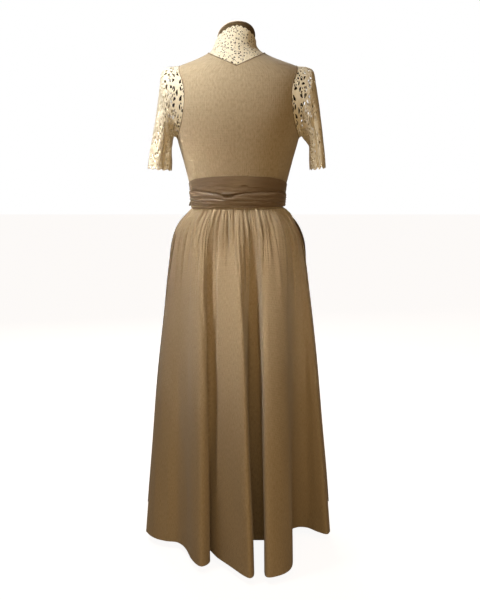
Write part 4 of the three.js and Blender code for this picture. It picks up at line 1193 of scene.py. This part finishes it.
def gathers(angle, below, count, seed):
    """Uneven gathers under the waist seam: each has its own place, depth and length."""
    place = angle * count / 180 + 0.32 * waver(angle * 0.21, seed) + 0.2 * waver(angle * 0.83, seed + 3)
    cell = np.round(place)
    own = mottle(cell, seed, 5)
    # The smooth panel right of the centre has short gathers alone
    smooth = smoothstep(6, 12, -angle) * smoothstep(-48, -38, angle)
    long_share = (0.5 + 0.8 * own) * (1 - 0.45 * smooth)
    strength = 0.85 + 0.7 * mottle(cell, seed, 6)
    ridge = np.abs(np.cos(math.pi * (place - cell))) ** 0.65
    # Small puckers lie among the gathers, just under the seam
    near_seam = np.exp(-(((below - 15) / 15) ** 2))
    puckers = 1.6 * near_seam * np.cos(4.2 * math.pi * place + 2 * waver(angle * 0.3, seed))
    raised = 1.45 * strength * ridge * gather_depth(below / long_share)
    return raised - 1.2 * gather_depth(below * 1.3) + puckers


def recess(angle, below):
    """The hollow between the two left folds: a wide fall from the left, and a steep rise to the next fold."""
    away = angle - 20.5 - 0.6 * waver(below * 0.008, 2)
    shape = np.exp(-((away / np.where(away > 0, 6.0, 1.5)) ** 2))
    return -15 * shape * smoothstep(20, 160, below) * (1 - smoothstep(480, 800, below))


def creases(angle, below):
    """The back's single creases, as soft troughs and ridges."""
    lift = recess(angle, below)
    for place, first, last, depth, width in CREASES:
        fade_in = smoothstep(first - 6, first + 18, below)
        fade_out = 1 - smoothstep(first + (last - first) * 0.45, last, below)
        spread = width * (0.8 + 0.5 * np.clip((below - first) / (last - first), 0, 1))
        drift = 0.9 * waver(below * 0.01, place * 0.1)
        lift = lift + depth * fade_in * fade_out * np.exp(-(((angle - place - drift) / spread) ** 2))
    return lift


# Storage creases across the lower cloth: place, distance below the waist, slant, depth, and their spread in
# degrees and in mm
STORAGE_CREASES = [
    (60, 520, 0.9, 3.0, 7, 13),
    (68, 548, -0.6, -2.6, 8, 11),
    (52, 575, 0.4, 2.0, 6, 12),
    (-32, 610, 0.5, 1.8, 6, 14),
    (8, 480, -0.4, 1.8, 4, 16),
]


def rumples(angle, below):
    """Soft unevenness and storage creases of the lower cloth, and one small dimple under the waist."""
    soft = 1.3 * waver(angle * 0.13 + below * 0.006, 8) * smoothstep(150, 420, below)
    dimple = -5 * np.exp(-(((angle - 37) / 2.2) ** 2) - ((below - 118) / 9) ** 2)
    pull = 0
    for place, middle, slant, depth, wide, tall in STORAGE_CREASES:
        level = below - middle - slant * (angle - place) * 2
        pull = pull + depth * np.exp(-(((angle - place) / wide) ** 2) - (level / tall) ** 2)
    return soft + dimple + pull


def skirt_relief(surface, angle, below, count, seed, back):
    """A skirt panel's points with its whole relief."""
    lift = gathers(angle, below, count, seed)
    if back:
        fade = smoothstep(0, 14, 90 - np.abs(angle))
        lift = lift + (creases(angle, below) + rumples(angle, below)) * fade
    else:
        lift = lift + 1.2 * waver(angle * 0.12 + below * 0.005, 9) * smoothstep(150, 420, below)
    return surface(angle, below) + level_normal(surface, angle, below) * lift[..., None]


def back_skirt(angle, below):
    return skirt_relief(back_cone, angle, below, BACK_GATHERS, 1, True)


def front_skirt(angle, below):
    return skirt_relief(front_cone, angle, below, FRONT_GATHERS, 4, False)


def drop_rows(low, high):
    """Rows down a skirt, closest together at its gathers."""
    count = round(92 * DENSITY)
    share = np.linspace(0, 1, count)
    return low + (high - low) * (0.35 * share + 0.65 * share**1.8)


def skirt_piece(name, surface, angles, drops, walls, cut_width, finish):
    """A gathered width that hangs from the waist seam, between two distances from its surface."""
    u, v, faces = sheet_grid(angles, drops)
    normal = level_normal(surface, u, v)
    flat = np.stack([(u - angles[0]) / np.ptp(angles) * cut_width, v], -1)
    return shell(f"{name}_cloth", surface(u, v), normal, walls, faces, flat, finish, name)


def even_angles(curve_of, low, high, count):
    """Angles spaced evenly along the folds low in the skirt and along the waist together."""
    fine = np.linspace(low, high, 1500)
    hem = curve_of(fine, np.full(fine.shape, SKIRT_DROP * 0.6))
    travel = np.linalg.norm(np.diff(hem, axis=0), axis=1)
    share = travel / travel.sum() + 0.9 / len(travel)
    place = np.concatenate([[0], np.cumsum(share)])
    return np.interp(np.linspace(0, place[-1], count), place, fine)


def skirt():
    drops = drop_rows(0.3, SKIRT_DROP)
    angles = even_angles(back_cone, -89.95, 89.95, round(470 * DENSITY))
    back = skirt_piece("skirt_back", back_skirt, angles, drops, SKIRT_WALLS, 1680, LINEN)
    angles = even_angles(front_cone, 90.05, 269.95, round(240 * DENSITY))
    front = skirt_piece("skirt_front", front_skirt, angles, drops, SKIRT_WALLS, 1200, LINEN)


def apron():
    def stands_off(angle, below):
        """The front of the skirt, with the apron's right edge turned out a little under the band."""
        edge = smoothstep(248, 262, angle)
        lift = 7.5 * edge * smoothstep(-8, 18, below) * (1 - smoothstep(85, 175, below))
        return front_skirt(angle, below) + level_normal(front_cone, angle, below) * lift[..., None]

    angles = even_angles(front_cone, 94.0, 266.0, round(240 * DENSITY))
    drops = drop_rows(0.3, APRON_DROP)
    panel = skirt_piece("apron_panel", stands_off, angles, drops, APRON_WALLS, 1050, APRON_TAFFETA)


# Sash


def waist_skin(angle, above):
    point = skin(angle, np.maximum(above, 12))
    point[..., 2] = WAIST + above
    return point


def apron_band():
    def flat(angle, above):
        return angle * 2.1, above

    def ripple(angle, above):
        return 0.25 * waver(angle * 0.6, 2)

    grid = sheet_grid(steps(105, 255, 1.5), steps(0.2, 40, 1.6))
    piece = cloth("apron_band_cloth", waist_skin, grid, (5.2, 6.8), flat, TAFFETA, "apron_band", ripple)


def sash_creases(across, above):
    """The crumples of the sash behind, as soft troughs and ridges."""
    lift = 0
    for start_x, start_z, end_x, end_z, depth, width in SASH_CREASES:
        run_x, run_z = end_x - start_x, end_z - start_z
        along = ((across - start_x) * run_x + (above - start_z) * run_z) / (run_x**2 + run_z**2)
        along = np.clip(along, 0, 1)
        gap = np.hypot(across - start_x - along * run_x, above - start_z - along * run_z)
        strength = 1.35 * depth * (0.55 + 0.45 * np.sin(math.pi * along))
        lift = lift + strength * np.exp(-((gap / width) ** 2))
    return lift


def tie(name, table, inner, hug, seed, folds, smooth_above):
    """A wide tie pulled into soft lengthwise folds, which fade out above smooth_above.

    It lies about inner mm off the figure before its folds, and hugs the waist by hug mm low behind."""
    shape = curves(TIE_COLUMNS, table)
    u, v, faces = sheet_grid(steps(table[0][0], table[-1][0], 1.3), steps(-1, 1, 0.042))
    above = shape["above"](u) + v * shape["half"](u) + waver(u * 0.06 + v, seed + 1)
    base = waist_skin(u, above)
    cosine = np.cos(np.radians(u))
    wander = 0.3 * waver(u * 0.05, seed) + 0.14 * waver(u * 0.13, seed + 2)
    phase = math.pi * (folds * (v + 1) / 2 + wander * (1 - v**2))
    ridge = 1 - np.abs(np.cos(phase)) ** 1.3
    strength = 1.5 + 1.0 * waver(u * 0.07 + v * 2.1, seed + 5)
    away_from_back = 1 - 0.55 * (cosine > 0) * np.abs(cosine)
    calm = 1 - smoothstep(smooth_above - 8, smooth_above + 4, above) * (cosine > -0.2)
    behind = smoothstep(-0.05, 0.55, cosine)
    lift = ridge * strength * away_from_back * calm + 1.2 * (1 - v**2)
    lift = np.clip(lift + 2.6 * behind + sash_creases(base[:, 0], above) * behind, 5.1 - inner, 8) + inner
    lift = lift - hug * (1 - smoothstep(4, 26, above)) * behind
    flat = np.stack([u * 2.2, v * 45], -1)
    normal = outward(waist_skin, u, above)
    return shell(f"{name}_cloth", base, normal, (lift, lift + 0.9), faces, flat, TAFFETA, name)


def ties():
    under = tie("tie_under", UNDER_TIE, inner=6.0, hug=0, seed=3, folds=6, smooth_above=58)
    over = tie("tie_over", OVER_TIE, inner=10.6, hug=5.4, seed=6, folds=5, smooth_above=200)


def by_waist(along, above, out):
    """A place beside the knot: a length round the waist, a height and a distance out."""
    centre = skin(BOW["angle"], BOW["above"])
    radius = np.hypot(centre[0], centre[1])
    angle = BOW["angle"] + np.degrees(along / radius)
    base = waist_skin(angle, above)
    normal = outward(waist_skin, angle, np.maximum(above, 13))
    below = np.maximum(0, 12 - above)
    skirt_reach = np.linalg.norm(cone(angle, below)[..., :2], axis=-1)
    lying = skirt_reach - np.linalg.norm(base[..., :2], axis=-1)
    push = out + np.where(above < 12, np.maximum(0, lying + out), 0)
    return base + normal * push[..., None]


def bow_form(name, start, length, droop, inner, half_height, depth, wrinkles):
    """A soft closed form of the bow, with pinched creases that run from the knot."""
    rings, sides = round(40 * DENSITY), round(56 * DENSITY)
    turns = np.arange(sides) * 2 * math.pi / sides
    share, turn = np.meshgrid(np.linspace(0, 1, rings), turns, indexing="ij")
    along = start + length * share
    crease = 1 + wrinkles * 0.16 * np.sin(turn * 7 + 2 * waver(share * 4, 1)) * (1 - 0.75 * share)
    high = half_height(share) * crease
    deep = depth * (0.55 + 0.45 * np.sin(math.pi * np.minimum(1, share + 0.08)))
    above = BOW["above"] - droop * share**2 + high * np.sin(turn)
    out = inner + deep / 2 + deep / 2 * np.cos(turn) * crease
    points = by_waist(along.ravel(), above.ravel(), out.ravel())
    index = np.arange(rings * sides).reshape(rings, sides)
    across = np.roll(index, -1, axis=1)
    quads = np.stack([index[:-1], across[:-1], across[1:], index[1:]], -1).reshape(-1, 4)
    faces = quads.tolist() + [index[0][::-1].tolist(), index[-1].tolist()]
    if length < 0:
        faces = [face[::-1] for face in faces]
    flat = np.stack([along.ravel(), (turn * 14).ravel()], -1)
    make_object(f"{name}_cloth", points, faces, np.ones(len(faces), bool), flat, TAFFETA, name)


def bow():
    width, height = BOW["knot_width"], BOW["knot_height"]

    def knot(share):
        return height / 2 * (0.94 + 0.06 * np.sin(math.pi * share))

    def swell(share):
        return 20 * (0.3 + 0.7 * np.sin(math.pi * np.minimum(0.93, 0.12 + share * 0.85)))

    bow_form("bow_knot", -width / 2, width, 0, BOW["inner"], knot, BOW["knot_depth"], 0.35)
    for side, word in ((-1, "left"), (1, "right")):
        start = side * (width / 2 + 0.3)
        bow_form(f"bow_loop_{word}", start, side * 66, 12, 15, swell, 10, 1.0)
        tail(f"bow_tail_{word}", side)


def tail(name, side):
    """A tail that hangs from the knot over the apron, with two long folds and a slanted end."""
    across, share, faces = sheet_grid(np.linspace(0, 1, 25), np.linspace(0, 1, round(90 * DENSITY)))
    width = 40 * (0.35 + 0.65 * np.minimum(1, share * 2.2))
    along = side * (4 + width / 2 + 16 * share) + (across - 0.5) * width
    above = BOW["above"] - BOW["knot_height"] / 2 + 2.8 - share * (300 - 9 * across)
    near = 8.2 - 2.9 * np.minimum(1, share * 3)
    fold = 1.6 * np.sin(across * math.pi * 2.5 + 0.5 * waver(share * 5, side)) * np.minimum(1, share * 4)
    below = np.maximum(0, -above)
    middle = front_cone(np.full(below.shape, BOW["angle"]), below)
    radius = np.linalg.norm(middle[:, :2], axis=1)
    angle = BOW["angle"] + np.degrees(along / radius)
    base = front_cone(angle, below)
    base[:, 2] = WAIST + above
    normal = level_normal(front_cone, angle, below)
    out = near + fold + gather_depth(below) + 0.6
    flat = np.stack([across * 60, above], -1)
    piece = shell(f"{name}_cloth", base, normal, (out, out + 1.0), faces, flat, TAFFETA, name)


# Stage


FLOOR = {"reach": 14, "glow": 0.92, "colour": "#b9b4ac"}
# Disk lamps: place and aim in metres, size in metres, power in watts, colour, and spread in degrees
LAMPS = {
    "key": ((0.37, 0.3, 1.63), (0, 0.05, 1.2), 0.22, 3.5, "#fffefc", 180),
    "side": ((1.6, 0.5, 1.25), (0.245, -0.01, 1.04), 0.3, 0.2, "#fffaf0", 10),
    "fill": ((0, 3.2, 0.75), (0, 0, 0.35), 1.6, 22, "#ffdaa4", 180),
    "top": ((-0.3, 1.3, 3.0), (0, 0.1, 0.9), 0.6, 2.2, "#fff1dc", 180),
    "skirt": ((1.1, 1.4, 2.2), (0.02, 0.13, 0.7), 0.3, 0.24, "#fff6ea", 17),
    "hip": ((-1.3, 1.5, 1.9), (-0.18, 0.1, 0.76), 0.4, 0.08, "#fff0dc", 14),
    "front": ((0.6, -2.8, 2.4), (0, 0, 1.0), 1.8, 45, "#ffeedb", 180),
}
# The soft light from all round, and the backdrop that the camera sees
AMBIENT = ("#ffc98a", 0.12)
BACKDROP = ("#ffffff", 1.0)
# The camera: lens and sensor in mm, place in metres, height over the waist seam, and tilt in degrees
CAMERA = {"lens": 65.3, "sensor": 36, "across": -0.0055, "behind": 3.0, "above": 0.18, "tilt": 8.3}


def floor():
    """A pale floor, lit from below as a light table is, for the camera alone."""
    mesh = bpy.data.meshes.new("floor")
    reach = FLOOR["reach"]
    corners = [(-reach, -reach, 0), (reach, -reach, 0), (reach, reach, 0), (-reach, reach, 0)]
    mesh.from_pydata(corners, [], [(0, 1, 2, 3)])
    ground = bpy.data.objects.new("floor", mesh)
    bpy.context.scene.collection.objects.link(ground)
    material, tree = empty_material("studio_floor")
    seen = node(tree, "ShaderNodeLightPath").outputs["Is Camera Ray"]
    glow = node(tree, "ShaderNodeMath", operation="MULTIPLY", i0=seen, i1=FLOOR["glow"])
    shader = node(
        tree, "ShaderNodeBsdfPrincipled", Base_Color=linear(FLOOR["colour"]), Roughness=0.9,
        Specular_IOR_Level=0.1, Emission_Color=linear("#ffffff"), Emission_Strength=glow,
    )
    node(tree, "ShaderNodeOutputMaterial", Surface=shader)
    mesh.materials.append(material)


def area_light(name, place, target, size, power, colour, spread):
    data = bpy.data.lights.new(name, "AREA")
    data.shape = "DISK"
    data.size = size
    data.energy = power
    data.spread = math.radians(spread)
    data.color = linear(colour)[:3]
    lamp = bpy.data.objects.new(name, data)
    bpy.context.scene.collection.objects.link(lamp)
    lamp.location = place
    lamp.visible_camera = False
    x, y, z = np.array(place) - np.array(target)
    lamp.rotation_euler = (math.atan2(math.hypot(x, y), z), 0, math.atan2(y, x) + math.pi / 2)


def studio_light():
    """The lamps, a soft light from all round, and a white backdrop for the camera alone."""
    for name, settings in LAMPS.items():
        area_light(name, *settings)
    world = bpy.data.worlds.new("studio")
    bpy.context.scene.world = world
    world.use_nodes = True
    tree = world.node_tree
    tree.nodes.clear()
    camera_ray = node(tree, "ShaderNodeLightPath").outputs["Is Camera Ray"]
    soft, seen = (
        node(tree, "ShaderNodeBackground", Color=linear(colour), Strength=strength)
        for colour, strength in (AMBIENT, BACKDROP)
    )
    mixed = node(tree, "ShaderNodeMixShader", i0=camera_ray, i1=soft, i2=seen)
    node(tree, "ShaderNodeOutputWorld", Surface=mixed)


def camera():
    """Three metres behind the dress, a little above its waist, tilted down."""
    data = bpy.data.cameras.new("camera")
    data.sensor_fit = "VERTICAL"
    data.sensor_height = CAMERA["sensor"]
    data.lens = CAMERA["lens"]
    eye = bpy.data.objects.new("camera", data)
    bpy.context.scene.collection.objects.link(eye)
    eye.location = (CAMERA["across"], CAMERA["behind"], WAIST * MM + CAMERA["above"])
    eye.rotation_euler = (math.radians(90 - CAMERA["tilt"]), 0, math.pi)
    bpy.context.scene.camera = eye


camera()
dress_form()
blouse()
bodice()
bindings()
skirt()
apron()
apron_band()
ties()
bow()
floor()
studio_light()
bpy.context.scene.view_settings.view_transform = "Standard"
